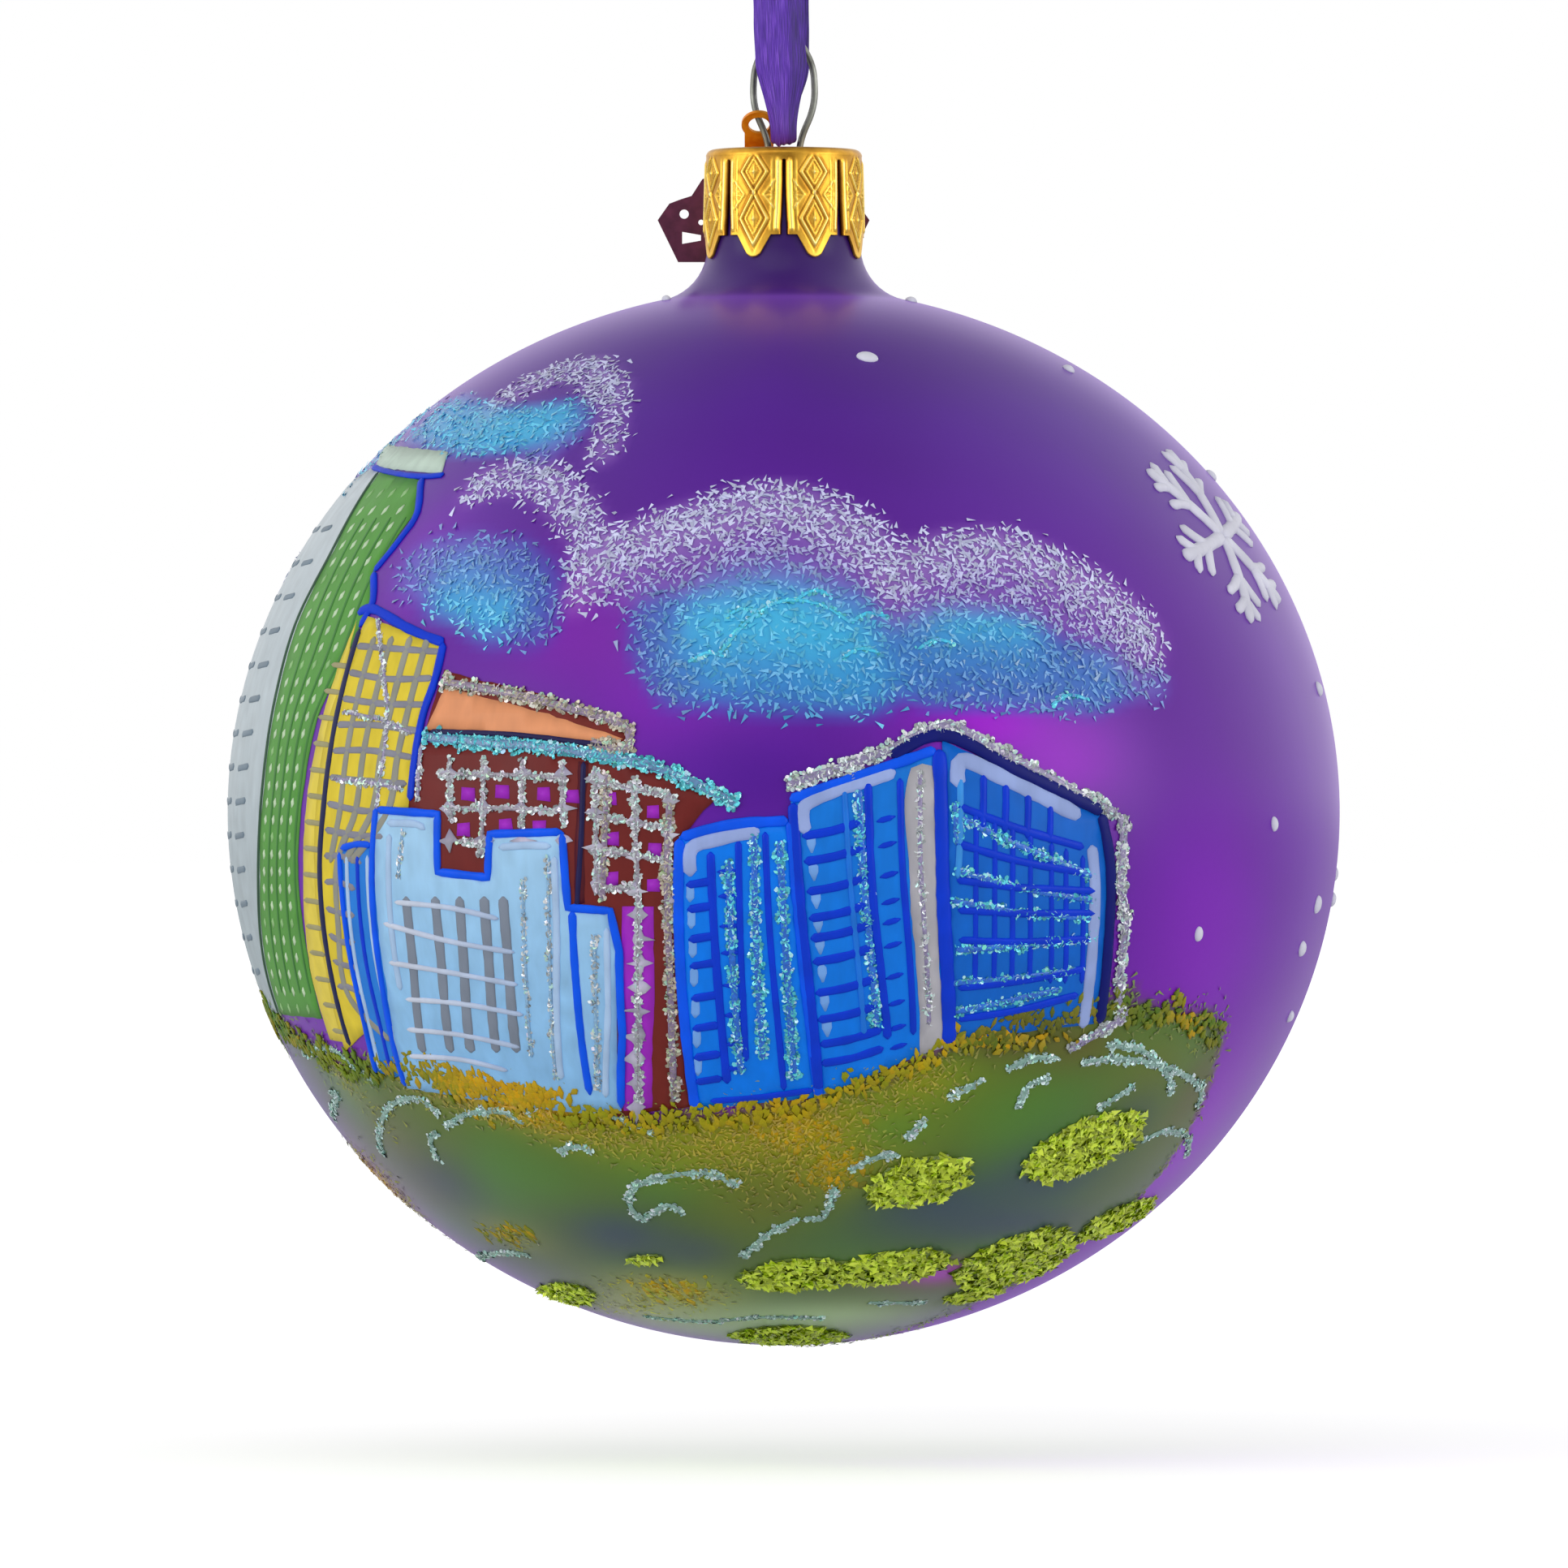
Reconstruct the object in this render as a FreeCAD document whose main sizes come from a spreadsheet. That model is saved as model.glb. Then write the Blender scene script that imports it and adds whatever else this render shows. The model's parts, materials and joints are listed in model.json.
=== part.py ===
"""Hanging glass ball ornament: blown ball, stamped crown cap, wire hanger, pierced tag, ribbon loop.

Units are millimetres and +Z is up. The origin is the hanging point, under the knot of the ribbon
loop, so the whole ornament hangs below it. The wire ring lies in the XZ plane, the ribbon passes
through it along Y, and the tag hangs behind the cap on +Y.
"""

import FreeCAD, Part
import math
import os

import Sketcher
from FreeCAD import Placement, Rotation, Vector

SIZES = [
    # name, value, what it is
    ("hang_drop", 50.0, "hanging point down to the top of the cap"),
    ("ball_radius", 50.0, "outer radius at the widest ring"),
    ("ball_rise", 47.2, "widest ring up to where the dome would close"),
    ("ball_drop", 48.0, "widest ring down to the lowest point"),
    ("glass_wall", 0.8, "thickness of the blown glass"),
    ("neck_rim_radius", 6.3, "outer radius of the neck at its cut rim"),
    ("neck_flare", 0.6, "how much wider the straight neck is at its foot"),
    ("neck_straight", 8.5, "length over which the neck flares"),
    ("neck_stand", 12.1, "how far the rim stands above the closed dome"),
    ("shoulder_radius", 5.0, "hollow curve from the neck into the dome"),
    ("cap_height", 9.9, "top of the cap to the tips of its petals"),
    ("cap_sheet", 0.25, "thickness of the stamped sheet"),
    ("cap_seat_gap", 0.05, "cap's underside to the neck's rim"),
    ("cap_rim_gap", 0.5, "cap's wall to the neck at the rim"),
    ("cap_tip_gap", 0.1, "petal tips to the neck"),
    ("cap_edge_round", 0.7, "rounded edge between top and skirt"),
    ("petal_count", 8, "petals round the skirt"),
    ("slit_start", 1.1, "top of the cap to the top of a slit"),
    ("slit_top_width", 0.16, "slit's width at its top"),
    ("slit_foot_width", 0.6, "slit's width where the notch begins"),
    ("notch_rise", 2.0, "notch between two tips, above the tips"),
    ("notch_flat", 1.0, "level edge on each side of a slit"),
    ("petal_tip_width", 1.3, "width of a petal's tip"),
    ("wire_radius", 0.3, "radius of the spring wire"),
    ("wire_hole_gap", 0.2, "wire to the edge of its hole in the cap"),
    ("leg_offset", 1.3, "axis of the cap to each wire leg"),
    ("ring_half_width", 2.72, "axis of the cap to the widest wire of the ring"),
    ("ring_height", 10.0, "top of the cap to the wire's centre at the ring's crown"),
    ("ring_foot", 0.6, "top of the cap to where the legs start to spread into the ring"),
    ("leg_straight", 4.6, "straight length of each leg below the cap's top"),
    ("leg_length", 22.0, "top of the cap to the end of each leg"),
    ("leg_bore_gap", 0.3, "spring leg to the bore of the neck"),
    ("tag_sheet", 0.3, "thickness of the pierced tag"),
    ("tag_cap_gap", 0.3, "tag to the cap, where it leans on it"),
    ("tag_centre", 1.85, "tag's middle, to the left of the cap's axis"),
    ("tag_half_width", 9.6, "tag's middle to its side points"),
    ("tag_foot_half_width", 7.75, "tag's middle to its lower corners"),
    ("tag_bottom", 9.8, "top of the cap down to the tag's lower edge"),
    ("tag_point_drop", 6.0, "top of the cap down to the side points"),
    ("tag_shoulder_drop", 4.1, "top of the cap down to the shoulders"),
    ("tag_crest_drop", 1.2, "top of the cap down to the crest"),
    ("tag_strap_width", 2.6, "width of the strap over the cap"),
    ("tag_hole_radius", 0.42, "round piercings"),
    ("tag_slot_length", 1.7, "length of the slotted piercings"),
    ("eye_radius", 1.58, "outside of the tag's eye"),
    ("eye_hole_radius", 0.95, "hole of the tag's eye"),
    ("eye_offset", 2.25, "axis of the cap to the centre of the eye"),
    ("eye_height", 2.3, "top of the cap to the centre of the eye"),
    ("eye_tilt", 45.0, "degrees that the eye leans back from upright"),
    ("ribbon_width", 4.6, "width of the ribbon"),
    ("ribbon_foot_width", 1.3, "gathered width where it passes through the ring"),
    ("ribbon_taper", 5.0, "length over which the ribbon gathers"),
    ("ribbon_sheet", 0.4, "thickness of the ribbon"),
    ("ribbon_foot_rise", 1.1, "top of the cap up to the ribbon's middle at its foot"),
    ("knot_radius", 2.7, "radius of the knot"),
    ("tail_length", 9.0, "length of each cut tail above the knot"),
    ("tail_lean", 16.0, "degrees that each tail leans outwards"),
]

# The ribbon's centre line from the knot, down in front of the ring, through it and up behind.
# The heights under the knot are stretched to end at the ribbon's foot.
RIBBON_ROUTE = [
    (-0.15, -0.4, 1.2),
    (-0.5, -1.7, -3.4),
    (-0.75, -2.25, -11.0),
    (-0.8, -2.5, -22.5),
    (-0.65, -2.55, -34.0),
    (-0.3, -2.15, -41.5),
    (0.0, -1.7, -45.6),
    (0.0, -1.3, -48.9),
    (0.0, 1.3, -48.9),
    (0.0, 1.7, -45.6),
    (0.0, 2.15, -41.5),
    (-0.1, 2.55, -34.0),
    (0.05, 2.5, -22.5),
    (0.0, 2.25, -11.0),
    (0.2, 1.7, -3.4),
    (0.15, 0.4, 1.2),
]
SLACK = 1.0  # how far a cutting tool runs past what it cuts

doc = FreeCAD.newDocument("ornament")
sheet = doc.addObject("Spreadsheet::Sheet", "sizes")
for row, (name, value, words) in enumerate(SIZES, start=1):
    sheet.set(f"A{row}", words)
    sheet.set(f"B{row}", str(value))
    sheet.setAlias(f"B{row}", name)
doc.recompute()


def size(name):
    """A driving dimension, read back from the spreadsheet."""
    return float(sheet.get(name))


# ---- places that several pieces share, worked out from the sheet ----

CAP_TOP = -size("hang_drop")
RIM = CAP_TOP - size("cap_sheet") - size("cap_seat_gap")
RING_OF_BALL = RIM - size("ball_rise") - size("neck_stand")
BORE = size("neck_rim_radius") - size("glass_wall")


class NeckProfile:
    """The ball's outline from the dome into the neck, grown outwards by grow (inwards if negative).

    Heights are measured from the ball's widest ring.
    """

    def __init__(self, grow=0.0):
        self.across = size("ball_radius") + grow
        self.up = size("ball_rise") + grow
        self.down = size("ball_drop") + grow
        self.round = size("shoulder_radius") - grow
        self.rim = Vector(size("neck_rim_radius") + grow, size("ball_rise") + size("neck_stand"), 0)
        self.slope = Vector(size("neck_flare"), -size("neck_straight"), 0).normalize()
        self.out = Vector(-self.slope.y, self.slope.x, 0)
        self.solve()

    def dome(self, turn):
        return Vector(self.across * math.cos(turn), self.up * math.sin(turn), 0)

    def nearest_turn(self, point):
        """The dome's angle nearest to point, by closing in on the shortest distance."""
        low, high = 0.0, math.pi / 2
        for _ in range(80):
            a, b = low + (high - low) / 3, high - (high - low) / 3
            if (self.dome(a) - point).Length < (self.dome(b) - point).Length:
                high = b
            else:
                low = a
        return (low + high) / 2

    def solve(self):
        """Slides the hollow curve's centre down the neck until the curve touches the dome."""
        low, high = 0.0, self.rim.y
        for _ in range(80):
            middle = (low + high) / 2
            centre = self.rim + self.slope * middle + self.out * self.round
            turn = self.nearest_turn(centre)
            clear = math.hypot(centre.x / self.across, centre.y / self.up) > 1
            if clear and (self.dome(turn) - centre).Length > self.round:
                low = middle
            else:
                high = middle
        self.centre, self.turn = centre, turn
        self.neck_end = centre - self.out * self.round
        self.dome_end = self.dome(turn)

    def radius_below_rim(self, drop):
        """The neck's radius that far below the rim, at or above the end of the hollow curve."""
        height = self.rim.y - drop
        if height >= self.neck_end.y:
            return self.rim.x + (self.rim.y - height) * self.slope.x / -self.slope.y
        level = self.centre.y - height
        return self.centre.x - math.sqrt(max(self.round**2 - level**2, 0.0))


OUTER = NeckProfile()
CAP_TOP_RADIUS = size("neck_rim_radius") + size("cap_rim_gap") + size("cap_sheet")
CAP_TIP_RADIUS = (
    OUTER.radius_below_rim(size("cap_height") - size("cap_sheet") - size("cap_seat_gap"))
    + size("cap_tip_gap")
    + size("cap_sheet")
)
TAG_FACE = max(CAP_TOP_RADIUS, CAP_TIP_RADIUS) + size("tag_cap_gap")


# ---- helpers for the document ----


def new_body(label, place=Placement()):
    body = doc.addObject("PartDesign::Body", label)
    body.Label = label
    body.Placement = place
    return body


def plane_of(body, role):
    return next(f for f in body.Origin.OriginFeatures if f.Role == role)


def sketch_on(body, name, role, offset=Placement()):
    sketch = body.newObject("Sketcher::SketchObject", name)
    sketch.AttachmentSupport = [(plane_of(body, role), "")]
    sketch.MapMode = "FlatFace"
    sketch.AttachmentOffset = offset
    return sketch


def join_ends(sketch, first, count):
    """Makes the ends of count pieces of outline, each starting where the last one ends, coincide."""
    for k in range(count):
        sketch.addConstraint(
            Sketcher.Constraint("Coincident", first + k, 2, first + (k + 1) % count, 1)
        )


def add_polygon(sketch, corners):
    """A closed outline whose corners are pairs of expressions, each bound to the sheet."""
    points = [Vector(*(float(sketch.evalExpression(c)) for c in pair), 0) for pair in corners]
    first = sketch.GeometryCount
    for k, point in enumerate(points):
        sketch.addGeometry(Part.LineSegment(point, points[(k + 1) % len(points)]), False)
    join_ends(sketch, first, len(points))
    for k, (point, pair) in enumerate(zip(points, corners)):
        for kind, value, text in (("DistanceX", point.x, pair[0]), ("DistanceY", point.y, pair[1])):
            index = sketch.addConstraint(Sketcher.Constraint(kind, first + k, 1, value))
            sketch.setExpression(f"Constraints[{index}]", text)


def add_circle(sketch, x, y, radius):
    """A circle whose centre and radius are expressions, each bound to the sheet."""
    at = Vector(float(sketch.evalExpression(x)), float(sketch.evalExpression(y)), 0)
    size_now = float(sketch.evalExpression(radius))
    index = sketch.addGeometry(Part.Circle(at, Vector(0, 0, 1), size_now), False)
    for kind, value, text in (("DistanceX", at.x, x), ("DistanceY", at.y, y)):
        constraint = sketch.addConstraint(Sketcher.Constraint(kind, index, 3, value))
        sketch.setExpression(f"Constraints[{constraint}]", text)
    constraint = sketch.addConstraint(Sketcher.Constraint("Radius", index, size_now))
    sketch.setExpression(f"Constraints[{constraint}]", radius)


def pad(body, sketch, length, both_ways=False, reverse=False):
    feature = body.newObject("PartDesign::Pad", f"{sketch.Name}_pad")
    feature.Profile = sketch
    feature.setExpression("Length", length)
    feature.Midplane = both_ways
    feature.Reversed = reverse
    return feature


def pocket(body, sketch, length, both_ways=False, reverse=False):
    feature = body.newObject("PartDesign::Pocket", f"{sketch.Name}_cut")
    feature.Profile = sketch
    feature.setExpression("Length", length)
    feature.Midplane = both_ways
    feature.Reversed = reverse
    return feature


def spin(body, sketch):
    feature = body.newObject("PartDesign::Revolution", f"{sketch.Name}_spin")
    feature.Profile = sketch
    feature.ReferenceAxis = (sketch, ["V_Axis"])
    feature.Angle = 360.0
    return feature


def rounded_path(points, share=0.45):
    """Straight runs through points, joined by tangent arcs that take that share of the shorter run."""
    pieces, start = [], points[0]
    for before, at, after in zip(points, points[1:], points[2:]):
        way_in, way_out = (at - before).normalize(), (after - at).normalize()
        half_turn = way_in.getAngle(way_out) / 2
        back = share * min((at - before).Length, (after - at).Length)
        begin, end = at - way_in * back, at + way_out * back
        radius = back / math.tan(half_turn)
        inward = (way_out - way_in).normalize()
        middle = at + inward * (math.hypot(radius, back) - radius)
        pieces.append(Part.LineSegment(start, begin))
        pieces.append(Part.Arc(begin, middle, end))
        start = end
    pieces.append(Part.LineSegment(start, points[-1]))
    return pieces


def plain_feature(label, shape, place=Placement()):
    feature = doc.addObject("Part::Feature", label)
    feature.Label = label
    feature.Shape = shape
    feature.Placement = place
    return feature


# ---- glass_ball: one blown envelope with its neck, open at the cut rim ----


def ellipse_arc(across, up, start, end):
    """An arc of the ellipse (across cos t, up sin t), whichever of the two is longer."""
    centre = Vector(0, 0, 0)
    if across >= up:
        ellipse = Part.Ellipse(Vector(across, 0, 0), Vector(0, up, 0), centre)
        return Part.ArcOfEllipse(ellipse, start, end)
    ellipse = Part.Ellipse(Vector(0, up, 0), Vector(-across, 0, 0), centre)
    return Part.ArcOfEllipse(ellipse, start - math.pi / 2, end - math.pi / 2)


def wall_outline(profile):
    """The pole, the two halves of the dome, the hollow shoulder and the neck, as sketch geometry."""
    to_neck, to_dome = profile.neck_end - profile.centre, profile.dome_end - profile.centre
    middle = profile.centre + (to_neck + to_dome).normalize() * profile.round
    return [
        ellipse_arc(profile.across, profile.down, -math.pi / 2, 0.0),
        ellipse_arc(profile.across, profile.up, 0.0, profile.turn),
        Part.Arc(profile.dome_end, middle, profile.neck_end),
        Part.LineSegment(profile.neck_end, profile.rim),
    ]


def glass_ball():
    body = new_body("glass_ball", Placement(Vector(0, 0, RING_OF_BALL), Rotation()))
    sketch = sketch_on(body, "ball_wall", "XZ_Plane")
    inner = NeckProfile(-size("glass_wall"))
    pole_out = Vector(0, -OUTER.down, 0)
    pole_in = Vector(0, -inner.down, 0)
    outline = wall_outline(OUTER) + wall_outline(inner)
    outline.append(Part.LineSegment(OUTER.rim, inner.rim))
    outline.append(Part.LineSegment(pole_in, pole_out))
    sketch.addGeometry(outline, False)
    for k in range(len(outline)):
        sketch.addConstraint(Sketcher.Constraint("Block", k))
    spin(body, sketch)


# ---- crown_cap: a stamped cup with two wire holes and a skirt slit into pointed petals ----


def crown_cap():
    body = new_body("crown_cap", Placement(Vector(0, 0, CAP_TOP), Rotation()))
    sketch = sketch_on(body, "cup_wall", "XZ_Plane")
    edge, metal, height = size("cap_edge_round"), size("cap_sheet"), size("cap_height")
    lean = (CAP_TIP_RADIUS - CAP_TOP_RADIUS) / height
    corner_in = max(edge - metal, metal / 2)
    rows = [(0, 0), (CAP_TOP_RADIUS - edge, 0), (CAP_TOP_RADIUS + lean * edge, -edge)]
    rows += [(CAP_TIP_RADIUS, -height), (CAP_TIP_RADIUS - metal, -height)]
    drop = metal + corner_in
    rows += [(CAP_TOP_RADIUS - metal + lean * drop, -drop)]
    rows += [(CAP_TOP_RADIUS - metal - corner_in, -metal), (0, -metal)]
    top, round_a, round_b, tip, tip_in, bend_b, bend_a, under = [Vector(x, y, 0) for x, y in rows]
    outer_middle = Vector(CAP_TOP_RADIUS - edge * 0.29, -edge * 0.29, 0)
    inner_x = CAP_TOP_RADIUS - metal - corner_in * 0.29
    inner_middle = Vector(inner_x, -metal - corner_in * 0.29, 0)
    outline = [
        Part.LineSegment(top, round_a),
        Part.Arc(round_a, outer_middle, round_b),
        Part.LineSegment(round_b, tip),
        Part.LineSegment(tip, tip_in),
        Part.LineSegment(tip_in, bend_b),
        Part.Arc(bend_b, inner_middle, bend_a),
        Part.LineSegment(bend_a, under),
        Part.LineSegment(under, top),
    ]
    sketch.addGeometry(outline, False)
    for k in range(len(outline)):
        sketch.addConstraint(Sketcher.Constraint("Block", k))
    spin(body, sketch)

    holes = sketch_on(body, "wire_holes", "XY_Plane")
    for side in ("", "-"):
        add_circle(holes, f"{side}sizes.leg_offset", "0", "sizes.wire_radius + sizes.wire_hole_gap")
    pocket(body, holes, "2 * (sizes.cap_sheet + 1)", both_ways=True)

    slit = sketch_on(body, "petal_slit", "XZ_Plane")
    pitch = 2 * math.pi / size("petal_count")
    half_gap = CAP_TIP_RADIUS * math.sin(pitch / 2) - size("petal_tip_width") / 2
    notch = "-sizes.cap_height + sizes.notch_rise"
    below = f"-sizes.cap_height - {SLACK}"
    flat = "sizes.slit_foot_width / 2 + sizes.notch_flat"
    right = [
        ("sizes.slit_top_width / 2", "-sizes.slit_start"),
        ("sizes.slit_foot_width / 2", notch),
        (flat, notch),
        (f"{half_gap}", "-sizes.cap_height + 0.15 * sizes.notch_rise"),
        (f"{half_gap}", below),
    ]
    left = [(f"-({x})", y) for x, y in reversed(right)]
    add_polygon(slit, right + left)
    cut = pocket(body, slit, f"{CAP_TIP_RADIUS + SLACK}", reverse=True)
    pattern = body.newObject("PartDesign::PolarPattern", "petals")
    pattern.Originals = [cut]
    pattern.Axis = (plane_of(body, "Z_Axis"), [""])
    pattern.Angle = 360.0
    pattern.setExpression("Occurrences", "sizes.petal_count")
    body.Tip = pattern


# ---- wire_hanger: one length of spring wire, a ring above the cap and two legs in the neck ----


def wire_hanger():
    body = new_body("wire_hanger", Placement(Vector(0, 0, CAP_TOP), Rotation()))
    foot, crown = size("ring_foot"), size("ring_height")
    leg, wide = size("leg_offset"), size("ring_half_width")
    reach = BORE - size("wire_radius") - size("leg_bore_gap")
    rise = crown - foot
    end = -size("leg_length")
    right = [
        (reach, end),
        (reach, 0.72 * end),
        (leg, -size("leg_straight")),
        (leg, foot),
        (wide * 1.04, foot + 0.36 * rise),
        (wide * 0.98, foot + 0.74 * rise),
        (wide * 0.48, crown),
    ]
    left = [(-x, z) for x, z in reversed(right)]
    path = sketch_on(body, "wire_line", "XZ_Plane")
    path.addGeometry(rounded_path([Vector(x, z, 0) for x, z in right + left]), False)
    for k in range(path.GeometryCount):
        path.addConstraint(Sketcher.Constraint("Block", k))
    section = sketch_on(body, "wire_section", "XY_Plane", Placement(Vector(0, 0, end), Rotation()))
    add_circle(section, f"{reach}", "0", "sizes.wire_radius")
    pipe = body.newObject("PartDesign::AdditivePipe", "wire")
    pipe.Profile = section
    pipe.Spine = (path, [])
    pipe.Mode = "Standard"


# ---- hang_tag: one pierced sheet, a plate behind the cap, a strap over it and an eye on the wire ----


def hang_tag():
    metal = size("tag_sheet")
    eye_x, eye_z = -size("eye_offset"), size("eye_height")
    body = new_body("hang_tag", Placement(Vector(0, 0, CAP_TOP), Rotation()))

    behind = Placement(Vector(0, 0, -TAG_FACE), Rotation())
    plate = sketch_on(body, "tag_plate", "XZ_Plane", behind)
    half = [
        ("sizes.tag_foot_half_width", "-sizes.tag_bottom"),
        ("sizes.tag_half_width", "-sizes.tag_point_drop"),
        ("sizes.tag_half_width * 0.89", "-sizes.tag_shoulder_drop - 0.4"),
        ("sizes.tag_half_width * 0.78", "-sizes.tag_shoulder_drop"),
        ("sizes.tag_half_width * 0.68", "-sizes.tag_shoulder_drop + 0.3"),
        ("sizes.tag_half_width * 0.58", "-sizes.tag_crest_drop - 1.1"),
        ("sizes.tag_half_width * 0.36", "-sizes.tag_crest_drop"),
    ]
    right = [(f"{x} - sizes.tag_centre", y) for x, y in half]
    left = [(f"-({x}) - sizes.tag_centre", y) for x, y in reversed(half)]
    add_polygon(plate, right + left)
    pad(body, plate, "sizes.tag_sheet", reverse=True)

    strap = sketch_on(body, "tag_strap", "YZ_Plane", Placement(Vector(0, 0, eye_x), Rotation()))
    lean = math.radians(size("eye_tilt"))
    over = size("tag_cap_gap")
    half_out, half_up = metal / 2 * math.cos(lean), metal / 2 * math.sin(lean)
    bend_over = half_out + (eye_z + half_up - over - metal) * math.tan(lean)
    bend_under = -half_out + (eye_z - half_up - over) * math.tan(lean)
    below_crest = -size("tag_crest_drop") - SLACK
    corners = [
        (half_out, eye_z + half_up),
        (bend_over, over + metal),
        (TAG_FACE + metal, over + metal),
        (TAG_FACE + metal, below_crest),
        (TAG_FACE, below_crest),
        (TAG_FACE, over),
        (bend_under, over),
        (-half_out, eye_z - half_up),
    ]
    add_polygon(strap, [(f"{y}", f"{z}") for y, z in corners])
    pad(body, strap, "sizes.tag_strap_width", both_ways=True)

    up_the_eye = Rotation(Vector(1, 0, 0), 90 + size("eye_tilt"))
    at_eye = Placement(Vector(eye_x, half_out, eye_z + half_up), up_the_eye)
    eye = sketch_on(body, "tag_eye", "XY_Plane", at_eye)
    add_circle(eye, "0", "0", "sizes.eye_radius")
    pad(body, eye, "sizes.tag_sheet")
    hole = sketch_on(body, "eye_hole", "XY_Plane", at_eye)
    add_circle(hole, "0", "0", "sizes.eye_hole_radius")
    pocket(body, hole, "4 * sizes.tag_sheet", both_ways=True)

    piercings = sketch_on(body, "piercings", "XZ_Plane", behind)
    for side in (-1, 1):
        for share, drop, part in ((0.75, 1.35, 1.0), (0.59, 2.1, 0.6), (0.3, 1.35, 1.0)):
            add_circle(
                piercings,
                f"{side * share} * sizes.tag_half_width - sizes.tag_centre",
                f"-sizes.tag_shoulder_drop - {drop}",
                f"sizes.tag_hole_radius * {part}",
            )
        for share in (0.68, 0.36):
            centre = f"{side * share} * sizes.tag_half_width - sizes.tag_centre"
            out = f"{side / 2} * sizes.tag_slot_length"
            add_polygon(
                piercings,
                [
                    (f"{centre} - {out}", "-sizes.tag_bottom + 2.45"),
                    (f"{centre} - {out}", "-sizes.tag_bottom + 1.95"),
                    (f"{centre} + {out}", "-sizes.tag_bottom + 1.65"),
                    (f"{centre} + {out}", "-sizes.tag_bottom + 2.75"),
                ],
            )
    pocket(body, piercings, "4 * sizes.tag_sheet", both_ways=True)


# ---- ribbon and ribbon_knot: one ribbon, threaded through the ring and knotted into a loop ----


def ribbon():
    stretch = (size("hang_drop") - size("ribbon_foot_rise")) / -min(z for x, y, z in RIBBON_ROUTE)
    points = [Vector(x, y, z * stretch if z < 0 else z) for x, y, z in RIBBON_ROUTE]
    pieces = rounded_path(points)
    path = Part.Wire([piece.toShape() for piece in pieces])
    half_width, half_sheet = size("ribbon_width") / 2, size("ribbon_sheet") / 2
    start, ahead = path.Edges[0].valueAt(0), path.Edges[0].tangentAt(0)
    through = ahead.cross(Vector(1, 0, 0)).normalize()
    across = through.cross(ahead).normalize()
    corners = [(-1, -1), (1, -1), (1, 1), (-1, 1), (-1, -1)]
    section = Part.makePolygon(
        [start + across * half_width * a + through * half_sheet * b for a, b in corners]
    )
    sweep = Part.BRepOffsetAPI.MakePipeShell(path)
    sweep.setBiNormalMode(Vector(1, 0, 0))
    sweep.add(section)
    sweep.build()
    sweep.makeSolid()
    band = sweep.shape()
    foot = min(p.z for p in points)
    gather_top = foot + size("ribbon_taper")
    deep = max(abs(p.y) for p in points) + SLACK
    for side in (-1, 1):
        rows = [
            (size("ribbon_foot_width") / 2, foot - SLACK),
            (size("ribbon_foot_width") / 2, foot + SLACK),
            (half_width, gather_top),
            (half_width + SLACK, gather_top),
            (half_width + SLACK, foot - SLACK),
        ]
        loop = [Vector(side * x, -deep, z) for x, z in rows]
        wedge = Part.Face(Part.makePolygon(loop + loop[:1])).extrude(Vector(0, 2 * deep, 0))
        band = band.cut(wedge)
    plain_feature("ribbon", band)
    arcs = [edge.Curve for edge in path.Edges if isinstance(edge.Curve, Part.Circle)]
    radii = [round(arc.Radius, 1) for arc in arcs]
    print("ribbon: length", round(path.Length, 2), "bend radii", radii)
    print("ribbon: volume", round(band.Volume, 1), "of", round(path.Length * 4 * half_width * half_sheet, 1))


def ribbon_knot():
    body = new_body("knot_and_tails")
    lump = body.newObject("PartDesign::AdditiveSphere", "knot_lump")
    lump.setExpression("Radius", "sizes.knot_radius")
    lump.AttachmentSupport = [(plane_of(body, "XY_Plane"), "")]
    lump.MapMode = "FlatFace"
    lump.setExpression("AttachmentOffset.Base.z", "sizes.knot_radius")

    lean = math.radians(size("tail_lean"))
    long = size("knot_radius") + size("tail_length")
    wide = size("ribbon_width") / 2
    rise = Vector(long * math.sin(lean), long * math.cos(lean), 0)
    aside = Vector(wide * math.cos(lean), -wide * math.sin(lean), 0)
    start = Vector(0, size("knot_radius"), 0)
    corners = [start - aside, start + aside, start + rise * 0.95 + aside, start + rise - aside]
    for side, name in ((1, "tail_right"), (-1, "tail_left")):
        layer = Placement(Vector(0, 0, side * size("ribbon_sheet") * 0.75), Rotation())
        tail = sketch_on(body, name, "XZ_Plane", layer)
        add_polygon(tail, [(f"{side * c.x}", f"{c.y}") for c in corners])
        pad(body, tail, "sizes.ribbon_sheet", both_ways=True)

    tied = doc.addObject("Part::Cut", "ribbon_knot")
    tied.Label = "ribbon_knot"
    tied.Base = body
    tied.Tool = doc.getObject("ribbon")


glass_ball()
crown_cap()
wire_hanger()
hang_tag()
ribbon()
ribbon_knot()
doc.recompute()

NODES = ["glass_ball", "crown_cap", "wire_hanger", "hang_tag", "ribbon", "ribbon_knot"]

for item in doc.Objects:
    for word in ("Invalid", "Error"):
        if word in item.State:
            raise SystemExit(f"{item.Name} is {item.State}")

os.makedirs("parts", exist_ok=True)
for label in NODES:
    piece = doc.getObjectsByLabel(label)[0]
    shape = piece.Shape
    if shape.isNull() or not shape.isValid() or not shape.Solids:
        raise SystemExit(f"{label} has no valid solid")
    if len(shape.Solids) != 1:
        raise SystemExit(f"{label} is {len(shape.Solids)} solids")
    shape.exportStep(f"parts/{label}.step")
    box = shape.BoundBox
    low = [round(v, 2) for v in (box.XMin, box.YMin, box.ZMin)]
    high = [round(v, 2) for v in (box.XMax, box.YMax, box.ZMax)]
    print(label, len(shape.Solids), round(shape.Volume, 2), low, high)
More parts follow.
